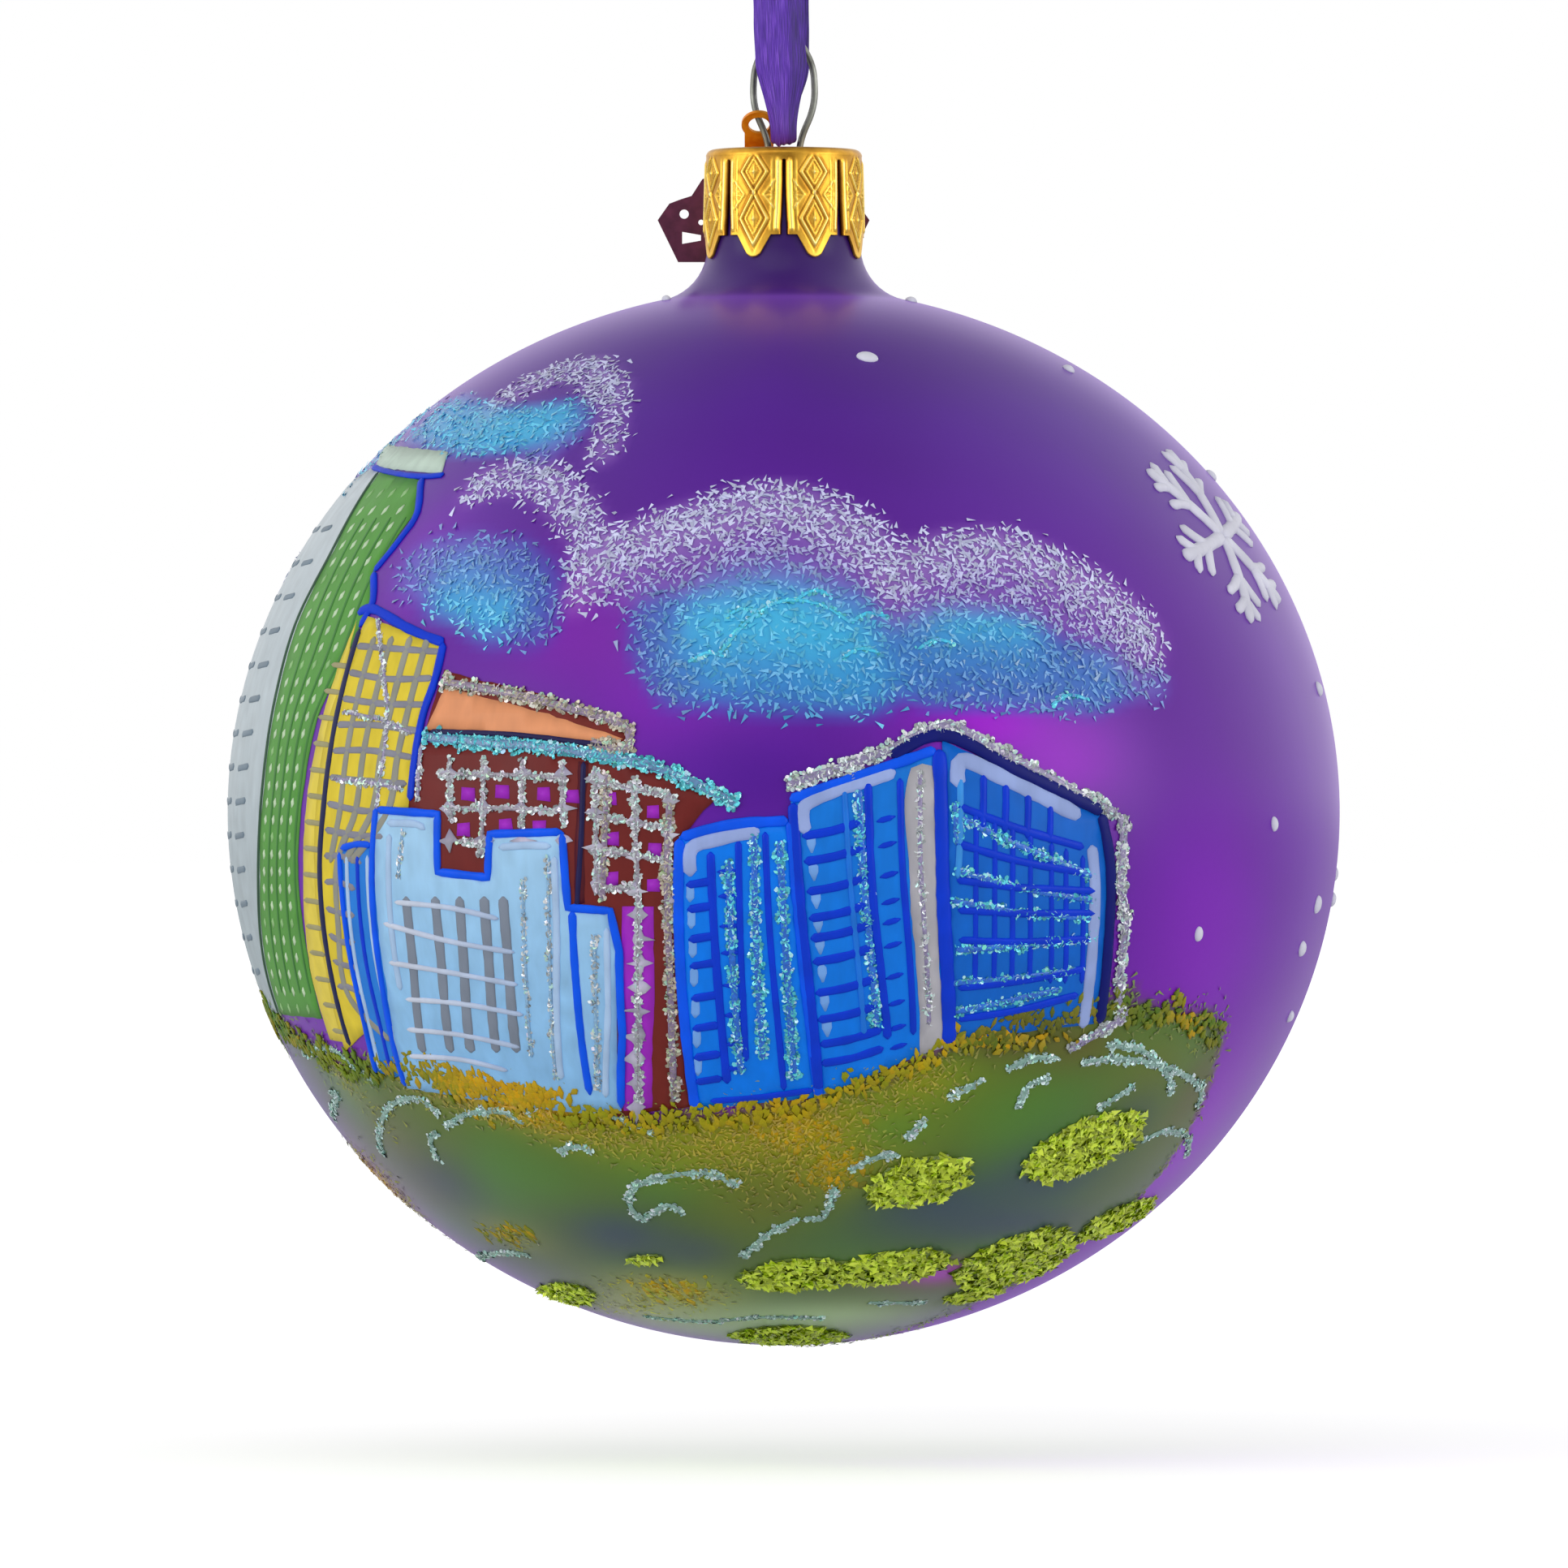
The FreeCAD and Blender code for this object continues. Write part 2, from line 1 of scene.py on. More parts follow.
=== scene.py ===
"""A mouth-blown glass ball ornament, lacquered violet, with a skyline painted on a green hill.

Finished meshes are in metres. The origin is the hanging point and +Z is up, as in the solid
model. The painting is laid out in millimetres from the ball's middle, and in degrees round it.
"""

import json
import math
import random

import bmesh
import bpy
from mathutils import Euler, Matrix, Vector, noise
from mathutils.geometry import delaunay_2d_cdt
from mathutils.kdtree import KDTree

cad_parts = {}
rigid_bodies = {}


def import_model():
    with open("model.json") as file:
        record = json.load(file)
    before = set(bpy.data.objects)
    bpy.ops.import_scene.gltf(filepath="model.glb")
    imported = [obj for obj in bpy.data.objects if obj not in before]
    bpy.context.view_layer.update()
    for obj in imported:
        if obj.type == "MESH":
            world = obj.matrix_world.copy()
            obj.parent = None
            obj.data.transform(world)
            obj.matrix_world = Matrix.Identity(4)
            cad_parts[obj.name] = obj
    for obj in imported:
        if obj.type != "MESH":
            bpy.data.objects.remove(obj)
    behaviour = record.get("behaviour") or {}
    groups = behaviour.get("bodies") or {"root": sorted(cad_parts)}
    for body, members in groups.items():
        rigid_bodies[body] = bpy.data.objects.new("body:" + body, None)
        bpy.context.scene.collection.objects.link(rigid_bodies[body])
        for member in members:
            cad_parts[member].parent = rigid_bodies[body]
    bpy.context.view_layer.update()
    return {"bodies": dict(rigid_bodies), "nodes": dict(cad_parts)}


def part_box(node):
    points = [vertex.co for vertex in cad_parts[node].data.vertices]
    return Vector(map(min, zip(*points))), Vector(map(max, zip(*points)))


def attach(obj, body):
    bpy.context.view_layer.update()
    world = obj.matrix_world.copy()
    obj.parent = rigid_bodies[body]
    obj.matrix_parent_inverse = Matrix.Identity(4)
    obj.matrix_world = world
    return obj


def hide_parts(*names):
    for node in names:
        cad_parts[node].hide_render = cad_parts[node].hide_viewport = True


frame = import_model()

MM = 0.001

# ----------------------------------------
# Studio: a white table some way under the hanging ball, one large soft lamp above and a stronger
# one on each side, all in a white room. The lens is long and level with the ball.

ball_low, ball_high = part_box("glass_ball")
BALL_RADIUS = (ball_high.x - ball_low.x) / 2
BALL_RING = ball_low.z + 0.96 * BALL_RADIUS
BALL_MIDDLE = Vector((0, 0, BALL_RING))
LENS_DISTANCE = 1.2
LENS_HEIGHT = 2.5  # mm above the ball's middle
SENSOR_WIDTH = 36
VIEW_WIDTH = 0.1412
TABLE_DROP = 0.0585

scene = bpy.context.scene
scene.view_settings.view_transform = "Standard"

camera_data = bpy.data.cameras.new("camera")
camera_data.sensor_width = SENSOR_WIDTH
camera_data.lens = SENSOR_WIDTH * LENS_DISTANCE / VIEW_WIDTH
camera_data.clip_start = 0.05
camera = bpy.data.objects.new("camera", camera_data)
camera.location = (0, -LENS_DISTANCE, BALL_RING + LENS_HEIGHT * MM)
camera.rotation_euler = (math.radians(90), 0, 0)
scene.collection.objects.link(camera)
scene.camera = camera


def soft_lamp(name, place, side, watts):
    """A round lamp that faces the ball."""
    data = bpy.data.lights.new(name, "AREA")
    data.shape = "DISK"
    data.size = side
    data.energy = watts
    lamp = bpy.data.objects.new(name, data)
    lamp.location = place
    lamp.rotation_euler = (Vector(place) - BALL_MIDDLE).to_track_quat("Z", "Y").to_euler()
    scene.collection.objects.link(lamp)


soft_lamp("lamp_above", (-0.15, -0.6, BALL_RING + 0.55), 0.7, 1.2)
for name, x in (("lamp_left", -0.85), ("lamp_right", 0.85)):
    soft_lamp(name, (x, -0.45, BALL_RING + 0.1), 0.6, 2.3)


class Shade:
    """One material's node tree. node() adds a node: first its settings, and then its sockets."""

    def __init__(self, owner):
        self.owner = owner
        owner.use_nodes = True
        self.tree = owner.node_tree
        self.tree.nodes.clear()

    def node(self, kind, settings=None, out=0, **sockets):
        made = self.tree.nodes.new("ShaderNode" + kind)
        for key, value in (settings or {}).items():
            if key == "stops":
                ramp = made.color_ramp
                while len(ramp.elements) > 1:
                    ramp.elements.remove(ramp.elements[-1])
                for k, (at, tint) in enumerate(value):
                    stop = ramp.elements[0] if k == 0 else ramp.elements.new(at)
                    stop.position = at
                    stop.color = (*tint, 1) if len(tint) == 3 else tint
            else:
                setattr(made, key, value)
        for key, value in sockets.items():
            self.plug(made, key, value)
        return Wire(self, made.outputs[out]) if made.outputs else None

    def ramp(self, by, *stops):
        """A run of colours, each given on the paint chart with its place along the run."""
        stops = [(at, srgb(*tint)) for at, tint in stops]
        return self.node("ValToRGB", {"stops": stops}, Fac=by)

    def coat(self, value):
        """The colour stored on the piece's vertices, made lighter or darker by value."""
        paint = self.node("VertexColor", {"layer_name": "coat"})
        return self.node("HueSaturation", Value=value, Color=paint)

    def blend(self, share, first, second):
        """The first colour, with a share of the second mixed in."""
        return self.node("Mix", {"data_type": "RGBA"}, out=2, i0=share, i6=first, i7=second)

    def surface(self, **sockets):
        """Ends the tree in a surface with these sockets, and returns the finished material."""
        self.node("OutputMaterial", Surface=self.node("BsdfPrincipled", **sockets))
        return self.owner

    def plug(self, made, key, value):
        index = int(key[1:]) if key[0] == "i" and key[1:].isdigit() else None
        socket = made.inputs[index] if index is not None else made.inputs[key.replace("_", " ")]
        if isinstance(value, Wire):
            self.tree.links.new(value.socket, socket)
        elif socket.type == "RGBA" and len(value) == 3:
            socket.default_value = (*value, 1)
        else:
            socket.default_value = value


class Wire:
    """A socket that numbers and other sockets can be added to, multiplied by and so on."""

    def __init__(self, shade, socket):
        self.shade, self.socket = shade, socket

    def maths(self, operation, a, b=None, clamp=False):
        sockets = {"i0": a} if b is None else {"i0": a, "i1": b}
        settings = {"operation": operation, "use_clamp": clamp}
        return self.shade.node("Math", settings, **sockets)

    def __add__(self, other):
        return self.maths("ADD", self, other)

    __radd__ = __add__

    def __sub__(self, other):
        return self.maths("SUBTRACT", self, other)

    def __rsub__(self, other):
        return self.maths("SUBTRACT", other, self)

    def __mul__(self, other):
        return self.maths("MULTIPLY", self, other)

    __rmul__ = __mul__

    def within(self, low, high):
        """0 below low, 1 above high, and an even slope between them."""
        return self.maths("MULTIPLY", self - low, 1 / (high - low), clamp=True)


def srgb(red, green, blue):
    """A colour written as on a paint chart, 0 to 255, as the linear values that a shader takes."""
    out = []
    for part in (red, green, blue):
        part /= 255
        out.append(part / 12.92 if part <= 0.04045 else ((part + 0.055) / 1.055) ** 2.4)
    return tuple(out)


world = bpy.data.worlds.new("white_room")
scene.world = world
room = Shade(world)
direct = room.node("LightPath", out=0)
mirrored = room.node("LightPath", out=3)
through = room.node("LightPath", out=6)
direct = direct.maths("ADD", direct, through, clamp=True)
toward = room.node("TexCoord")
sideways, beyond, upward = (room.node("SeparateXYZ", out=k, Vector=toward) for k in range(3))
sideways = sideways.maths("ABSOLUTE", sideways)
panels = sideways.within(0.1, 0.6)
white_wall = beyond.within(0.7, 0.97)
reflected = 0.2 + 1.0 * panels.maths("MAXIMUM", panels, white_wall)
soft = 0.5 + 0.14 * sideways - 0.12 * upward
glow = direct + (1 - direct) * (mirrored * reflected + (1 - mirrored) * soft)
room.node("OutputWorld", Surface=room.node("Background", Color=(1, 1, 1), Strength=glow))

table_mesh = bpy.data.meshes.new("table")
table_z = BALL_RING - TABLE_DROP
table_mesh.from_pydata(
    [(-6, -3, table_z), (6, -3, table_z), (6, 9, table_z), (-6, 9, table_z)], [], [(0, 1, 2, 3)]
)
table = bpy.data.objects.new("table", table_mesh)
scene.collection.objects.link(table)
table_paint = bpy.data.materials.new("white_table")
shade = Shade(table_paint)
by_camera = shade.node("LightPath", out=0)
ground_spot = shade.node("TexCoord", out=3)
away = shade.node("VectorMath", {"operation": "LENGTH"}, out=1, Vector=ground_spot)
table_top = shade.node(
    "AddShader",
    i0=shade.node("BsdfDiffuse", Color=(0.92, 0.92, 0.93)),
    i1=shade.node(
        "Emission", Color=(1, 1, 1), Strength=(0.5 + 0.2 * away.within(0.2, 0.5)) * by_camera
    ),
)
from_below = shade.node("NewGeometry", out=6)
see_through = shade.node("BsdfTransparent")
shade.node(
    "OutputMaterial", Surface=shade.node("MixShader", i0=from_below, i1=table_top, i2=see_through)
)
table.data.materials.append(table_paint)
keep_below = table.constraints.new("COPY_LOCATION")  # when the ball is drawn down off its cap
keep_below.target = frame["bodies"]["ball"]
keep_below.use_x = keep_below.use_y = False
keep_below.use_offset = True


# ----------------------------------------
# Ribbon: one length of violet woven satin, threaded through the foot of the wire ring. It gathers
# there into folds, runs up before and behind the ring, and its ends are tied in a knot above.

RIBBON_WIDTH = 4.6 * MM
RIBBON_CLOTH = 0.16 * MM
RIBBON_FOLDS, RIBBON_COLUMNS = 5.0, 26
FOOT_WIDTH, FOOT_SPREAD = 1.5, 0.85  # mm, where the ribbon is gathered
FOOT_HEIGHT, GATHER_HEIGHT = -48.4, 6.5  # mm, from there up to its full width
RIBBON_ROUTE = [
    (-0.15, -0.4, 1.2), (-0.5, -1.7, -3.4), (-0.75, -2.25, -11.0), (-0.8, -2.5, -22.5),
    (-0.65, -2.55, -34.0), (-0.3, -2.15, -41.5), (-0.1, -1.75, -45.8), (0.0, -1.5, -49.6),
    (0.0, -0.1, -49.3), (0.0, 1.35, -48.9), (0.0, 1.7, -45.6), (0.0, 2.15, -41.5),
    (-0.1, 2.55, -34.0), (0.05, 2.5, -22.5), (0.0, 2.25, -11.0), (0.2, 1.7, -3.4), (0.15, 0.4, 1.2),
]


def spline_points(route):
    """Points read from the smooth curve that the route's points control."""
    curve = bpy.data.curves.new("route", "CURVE")
    curve.dimensions = "3D"
    spline = curve.splines.new("NURBS")
    spline.points.add(len(route) - 1)
    for point, place in zip(spline.points, route):
        point.co = (*[c * MM for c in place], 1)
    spline.order_u = 3
    spline.use_endpoint_u = True
    spline.resolution_u = 24
    holder = bpy.data.objects.new("route", curve)
    mesh = bpy.data.meshes.new_from_object(holder)
    points = [v.co.copy() for v in mesh.vertices]
    bpy.data.objects.remove(holder)
    bpy.data.curves.remove(curve)
    bpy.data.meshes.remove(mesh)
    return points


def softly(value):
    """An S-shaped slope from 0 to 1 as value goes from 0 to 1."""
    value = min(1.0, max(0.0, value))
    return value * value * (3 - 2 * value)


def wall_faces(around, rows, start=0):
    """The faces between rows of vertices that each run once round a piece."""
    faces = []
    for row in range(start, start + (rows - 1) * around, around):
        for k in range(around):
            a, b = row + k, row + (k + 1) % around
            faces.append((a, b, b + around, a + around))
    return faces


def tube_faces(around, rows, start=0):
    """The faces of a tube, with one more across each of its ends."""
    last = start + (rows - 1) * around
    ends = [tuple(reversed(range(start, start + around))), tuple(range(last, last + around))]
    return wall_faces(around, rows, start) + ends


def new_piece(name, verts, faces, material):
    """A piece whose mesh is given in metres, in the ornament's own frame."""
    mesh = bpy.data.meshes.new(name)
    mesh.from_pydata([tuple(v) for v in verts], [], faces)
    mesh.polygons.foreach_set("use_smooth", [True] * len(mesh.polygons))
    mesh.materials.append(material)
    mesh.update()
    piece = bpy.data.objects.new(name, mesh)
    scene.collection.objects.link(piece)
    return piece


def satin():
    """Woven satin: warp threads along the ribbon in a fine bump, lighter and darker streaks painted
    as the satin's highlights and shade, and soft sheen.
    """
    shade = Shade(bpy.data.materials.new("violet_satin"))
    cloth = shade.node("UVMap", {"uv_map": "cloth"})
    along = shade.node("Mapping", Vector=cloth, Scale=(26, 0.55, 1))
    streaks = shade.node("TexNoise", out=0, Vector=along, Scale=3.0, Detail=3.0)
    turned = shade.node("SeparateXYZ", out=0, Vector=cloth)
    threads = shade.node(
        "TexWave", {"bands_direction": "X"}, out=1, Vector=cloth, Scale=14.0, Distortion=0.6,
        Detail=1.0,
    )
    # Painted highlight and shade: the streaks lighten and darken the satin along its length, and
    # the right third of the band is darker as shade beyond a fold.
    tint = shade.ramp(
        1.5 * streaks - 0.22 - 0.2 * turned.within(0.62, 0.74),
        (0.2, (44, 8, 104)),
        (0.42, (76, 24, 160)),
        (0.62, (100, 44, 192)),
        (0.78, (150, 96, 232)),
    )
    height = 0.6 * threads + 0.9 * streaks
    bump = shade.node("Bump", Strength=0.35, Distance=0.0001, Height=height)
    return shade.surface(
        Base_Color=tint,
        Roughness=0.34 + 0.18 * streaks,
        Sheen_Weight=0.12,
        Sheen_Tint=srgb(190, 150, 250),
        Specular_IOR_Level=0.5,
        Normal=bump,
    )


ribbon_satin = satin()


def ribbon_width(point):
    """The ribbon gathers from its full width to a fold where it goes through the ring."""
    foot = FOOT_WIDTH + FOOT_SPREAD * min(1.0, max(0.0, (-point.y / MM - 0.5) / 0.8))
    open_share = softly((point.z / MM - FOOT_HEIGHT) / GATHER_HEIGHT)
    return (foot + (RIBBON_WIDTH / MM - foot) * open_share) * MM


def lay_cloth(piece, spots):
    """Stores where each vertex lies on the cloth, across it and along it, in ribbon widths."""
    cloth = piece.data.uv_layers.new(name="cloth")
    for corner in piece.data.loops:
        cloth.data[corner.index].uv = spots[corner.vertex_index]


def folded_ribbon(name, points):
    """A band along points, two skins and four edges, with lengthwise folds where it is gathered."""
    verts, spots = [], []
    run = 0.0
    for k, point in enumerate(points):
        ahead = (points[min(k + 1, len(points) - 1)] - points[max(k - 1, 0)]).normalized()
        through = ahead.cross(Vector((1, 0, 0))).normalized()
        across = through.cross(ahead).normalized()
        run += (point - points[k - 1]).length if k else 0.0
        wide = ribbon_width(point)
        tight = 1 - wide / RIBBON_WIDTH
        ring = []
        for column in range(RIBBON_COLUMNS + 1):
            u = 2 * column / RIBBON_COLUMNS - 1
            wave = math.sin(RIBBON_FOLDS * u + 0.9 + 60 * run)
            wave += 0.5 * math.sin(2.3 * RIBBON_FOLDS * u - 90 * run)
            curl = 0.10 * (1 - u * u) + 0.06 * math.sin(6 * u + 140 * run)
            ripple = noise.noise(Vector((u * 2.2, run * 160, 3.0)))
            depth = (0.26 * tight * wave + curl + 0.10 * ripple - 0.4 * max(0, u - 0.35)) * MM
            edge = 1 + 0.05 * noise.noise(Vector((run * 300, 7.0 if u > 0 else 9.0, 0)))
            ring.append((point + across * u * wide / 2 * edge + through * depth, through, u, run))
        for side in (1, -1):
            row = ring if side > 0 else ring[::-1]
            for place, outward, u, along in row:
                verts.append(place + outward * side * RIBBON_CLOTH / 2)
                spots.append((0.5 + u / 2, along / RIBBON_WIDTH))
    faces = tube_faces(2 * (RIBBON_COLUMNS + 1), len(points))
    piece = new_piece(name, verts, faces, ribbon_satin)
    lay_cloth(piece, spots)
    return piece


def face_outwards(piece):
    """Turns every face of a closed shell outwards."""
    work = bmesh.new()
    work.from_mesh(piece.data)
    bmesh.ops.recalc_face_normals(work, faces=work.faces)
    work.to_mesh(piece.data)
    work.free()


ribbon_line = spline_points(RIBBON_ROUTE)
ribbon = folded_ribbon("satin_ribbon", ribbon_line)
face_outwards(ribbon)
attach(ribbon, "ribbon_loop")
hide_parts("ribbon")


# ----------------------------------------
# Knot: both ends of the ribbon tied together in one overhand knot, pulled tight, with two short
# tails cut at a slant above it.

knot_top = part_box("ribbon_knot")[1].z
KNOT_RADIUS = 2.6 * MM
KNOT_HEIGHT = 2.7 * MM


def tied_knot():
    """A lump of cloth whose folds wind over it, closed at both poles."""
    verts = []
    turns, rows = 96, 56
    for row in range(1, rows):
        rise = math.pi * row / rows
        for turn in range(turns):
            angle = 2 * math.pi * turn / turns
            wrap = math.sin(2 * angle + 5.0 * math.cos(rise) + 0.6)
            crease = abs(wrap) ** 0.5
            pleat = 0.03 * math.sin(14 * angle + 16 * math.cos(rise)) * math.sin(rise)
            lump = 0.80 + 0.17 * crease + pleat
            wide = KNOT_RADIUS * math.sin(rise) * lump
            place = (wide * math.cos(angle), wide * math.sin(angle) * 0.9)
            verts.append(Vector((*place, KNOT_HEIGHT - KNOT_RADIUS * math.cos(rise) * lump)))
    return verts, tube_faces(turns, rows - 1)


def cut_tail(lean, behind, long):
    """One tail: a slightly curled band that leans outwards and ends in a slanting cut."""
    verts = []
    columns, rows = 14, 30
    half = RIBBON_WIDTH / 2 * 0.96
    for row in range(rows + 1):
        climb = row / rows
        for side in (1, -1):
            for step in range(columns + 1):
                u = (2 * step / columns - 1) * side
                gather = 0.35 + 0.65 * min(1.0, climb * 2.2)
                up = climb * long * (1.0 - 0.05 * (u * math.copysign(1, lean) + 1))
                curl = 0.3 * math.sin(3 * u + 4 * climb) * (1 - 0.6 * climb) + 0.5 * climb * climb
                flat = Vector((u * half * gather, 0, up))
                flat.rotate(Euler((0, lean, 0)))
                flat.y = (behind + curl * 0.8 + side * RIBBON_CLOTH / MM / 2) * MM
                verts.append(flat + Vector((0, 0, KNOT_HEIGHT)))
    return verts, tube_faces(2 * (columns + 1), rows + 1)


knot_verts, knot_faces = [], []
tail_long = (knot_top - KNOT_HEIGHT) * 0.97
for verts, faces in (
    tied_knot(),
    cut_tail(math.radians(14), 0.3, tail_long),
    cut_tail(math.radians(-15), -0.5, tail_long * 0.94),
):
    start = len(knot_verts)
    knot_verts += verts
    knot_faces += [tuple(start + k for k in face) for face in faces]
knot = new_piece("ribbon_tie", knot_verts, knot_faces, ribbon_satin)
face_outwards(knot)
knot_places = [vertex.co for vertex in knot.data.vertices]
lay_cloth(knot, [(p.x / RIBBON_WIDTH + 0.5, p.z / RIBBON_WIDTH) for p in knot_places])
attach(knot, "ribbon_loop")
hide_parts("ribbon_knot")


# ----------------------------------------
# Glass ball: one blown envelope with a flared neck, its wall under a millimetre thick. It is dipped
# in satin violet lacquer, then sprayed with glows, cloud haze and a mottled green hill.

ACROSS = BALL_RADIUS / MM
RISE, DROP = 0.944 * ACROSS, 0.96 * ACROSS
RIM_HEIGHT = (ball_high.z - BALL_RING) / MM
WALL, LIP = 0.8, 0.35
FLARE, FLARE_MIDDLE = 5.0, (11.9, 50.96)  # the round where the ball runs into its neck
NECK_FOOT, NECK_TAPER = (6.91, 50.62), 0.6
SILVERING = (186, 186, 192)


def on_ball(turn, height, lift=0.0):
    """A place on the ball, from its turn in degrees, 0 in front, and its height in mm."""
    reach = RISE if height > 0 else DROP
    flat = math.sqrt(max(1 - (height / reach) ** 2, 1e-6))
    angle = math.radians(turn)
    place = Vector((ACROSS * flat * math.sin(angle), -ACROSS * flat * math.cos(angle), height))
    out = Vector((place.x / ACROSS**2, place.y / ACROSS**2, height / reach**2)).normalized()
    return (place + out * lift) * MM + BALL_MIDDLE, out


def girth(height):
    """The ball's radius at a height."""
    reach = RISE if height > 0 else DROP
    return ACROSS * math.sqrt(max(1 - (height / reach) ** 2, 1e-6))


def seen(x, z):
    """The turn and height on the ball of what looks, from before it, to lie at x and z."""
    start = Vector((0, -LENS_DISTANCE / MM, LENS_HEIGHT))
    reach = RISE if z > 0 else DROP
    squash = Vector((1 / ACROSS, 1 / ACROSS, 1 / reach))
    pull = 1.0
    while True:
        way = Vector((x * pull, 0, z * pull)) - start
        a_start, a_way = start * squash, way * squash
        a, b, c = a_way.dot(a_way), 2 * a_start.dot(a_way), a_start.dot(a_start) - 1
        inside = b * b - 4 * a * c
        if inside >= 0:
            break
        pull *= 0.995
    hit = start + way * ((-b - math.sqrt(inside)) / (2 * a))
    return math.degrees(math.atan2(hit.x, -hit.y)), hit.z


def front(*places):
    """The turns and heights of a route that is given as it looks from before the ball."""
    return [seen(x, z) for x, z in places]


def mix(a, b, share):
    """What lies a share of the way from a to b."""
    return tuple(p + (q - p) * share for p, q in zip(a, b))


def between(stops, at):
    """The colour at a height, from stops that rise."""
    if at <= stops[0][0]:
        return stops[0][1]
    for (low, first), (high, second) in zip(stops, stops[1:]):
        if at <= high:
            return mix(first, second, (at - low) / (high - low))
    return stops[-1][1]


# The lacquer's colour by height, darker towards the neck and lighter towards the foot: partly its
# own sprayed tone, partly painted shade at the top and painted light below.
VIOLET = [
    (-48, (128, 52, 170)), (-30, (122, 40, 172)), (0, (108, 32, 160)), (20, (98, 34, 148)),
    (35, (86, 38, 144)), (44, (72, 36, 122)), (49, (58, 30, 98)), (59, (48, 26, 88)),
]
GLOWS = [
    (-10, 10, 8, 5, (150, 12, 190), 0.45),
    (-3, 3, 9, 5, (78, 14, 140), 0.7),
    (19, 8.0, 7, 3.2, (172, 12, 205), 0.95),
    (25, 4.6, 7, 4.4, (165, 10, 200), 0.85),
    (-18, 16, 8, 5, (150, 25, 180), 0.5),
    (-33, 22, 4, 7, (140, 40, 185), 0.5),
    (38, -12, 9, 14, (146, 44, 190), 0.55),
    (36, -30, 8, 10, (172, 84, 214), 0.7),
    (14, -41.5, 5, 2.2, (190, 90, 205), 0.9),
    (0, 30, 12, 8, (92, 36, 146), 0.4),
]
WHITE, LILAC, HAZE = (200, 190, 230), (150, 124, 204), (104, 122, 208)
AZURE, DEEP_AZURE, SLATE = (58, 200, 240), (46, 146, 214), (66, 102, 192)
CLOUD_BANDS = [
    (2.5, WHITE, [(-27.5, 35), (-24.6, 37.6), (-21.6, 39), (-17.6, 39.9), (-15.6, 37.6)]),
    (2.1, WHITE, [(-15.3, 36.5), (-15.6, 34.2), (-16.3, 32.2)]),
    (3.6, AZURE, [(-31.4, 35.6), (-27.5, 34.4), (-23.6, 34.6), (-20.4, 35)]),
    (2.4, HAZE, [(-22.5, 31.8), (-19, 34.5)]),
    (2.5, WHITE, [(-27.6, 29.2), (-24.6, 30.2), (-21.6, 29.7), (-18.6, 26.8), (-16.8, 23.3)]),
    (2.2, WHITE, [(-16.8, 23.3), (-17.6, 20.6), (-18.6, 19.2)]),
    (3.2, WHITE, [(-16.8, 22.8), (-12.3, 24.3), (-6.5, 26.2), (-0.6, 27.5), (4.3, 26), (8, 23.6)]),
    (3.2, LILAC, [(-14.6, 20.8), (-8.6, 22), (-1, 23.4), (5.4, 22)]),
    (3.0, WHITE, [(9.2, 20.9), (14.1, 22.8), (20, 23.3), (24.9, 21.3), (29.8, 18.4), (32.7, 15.5)]),
    (3.0, LILAC, [(10.4, 18.4), (16.5, 20), (22.4, 19.4), (28, 16.6), (32, 13.4)]),
    (2.0, HAZE, [(27, 13.4), (31.6, 11.4), (33.6, 11.6)]),
    (3.6, HAZE, [(-33, 21.8), (-29, 22.4), (-25.4, 21.2)]),
    (3.9, AZURE, [(-30.2, 20.4), (-27.6, 19.8), (-25.2, 18)]),
    (2.8, SLATE, [(-25, 22.8), (-22.2, 20.4), (-22.6, 16.6)]),
    (5.4, AZURE, [(-7.6, 15.6), (-2.6, 17.4), (3.2, 16), (6.6, 13.8)]),
    (3.6, DEEP_AZURE, [(-8.8, 13), (-4, 12.2), (2, 11.8), (8, 12)]),
    (2.8, SLATE, [(-11.4, 18.8), (-11.8, 15), (-9.4, 11.2)]),
    (2.6, HAZE, [(-6, 20.4), (0, 21.4), (5.8, 19.2)]),
    (3.6, AZURE, [(12.8, 15.6), (17.4, 15.8), (22.2, 15)]),
    (3.2, SLATE, [(11, 14.6), (18, 13.6), (26, 13.2)]),
    (3.2, DEEP_AZURE, [(11.2, 12.8), (17, 12.4), (24, 12.2), (29.4, 12.2)]),
    (2.2, SLATE, [(13, 11), (20.6, 10.8), (28, 10.4)]),
    (2.6, AZURE, [(-38.8, 31), (-35.6, 34.6), (-32.6, 36.6)]),
]
BACK_BANDS = [
    (3.2, WHITE, [(-128, 27), (-116, 31), (-104, 28), (-94, 22)]),
    (4.6, AZURE, [(-118, 24), (-108, 23), (-99, 19)]),
    (3.0, SLATE, [(-124, 20), (-112, 17), (-101, 15)]),
    (3.0, WHITE, [(-176, 24), (-166, 28), (-154, 27), (-144, 21)]),
    (4.4, DEEP_AZURE, [(-170, 20), (-160, 21), (-150, 17)]),
    (3.0, LILAC, [(-172, 15), (-160, 15), (-149, 13)]),
    (3.0, WHITE, [(128, 24), (140, 28), (152, 27), (163, 21)]),
    (4.6, AZURE, [(136, 21), (146, 21), (155, 17)]),
    (3.0, SLATE, [(134, 15), (146, 14), (156, 12)]),
]
GREEN, FERN, MUSTARD, AMBER = (76, 116, 42), (84, 138, 42), (156, 156, 0), (222, 166, 4)
OLIVE, PINE, BARK, PALE_FERN_AND_BOUNCE_LIGHT = (112, 120, 16), (62, 86, 96), (104, 96, 30), (194, 234, 150)
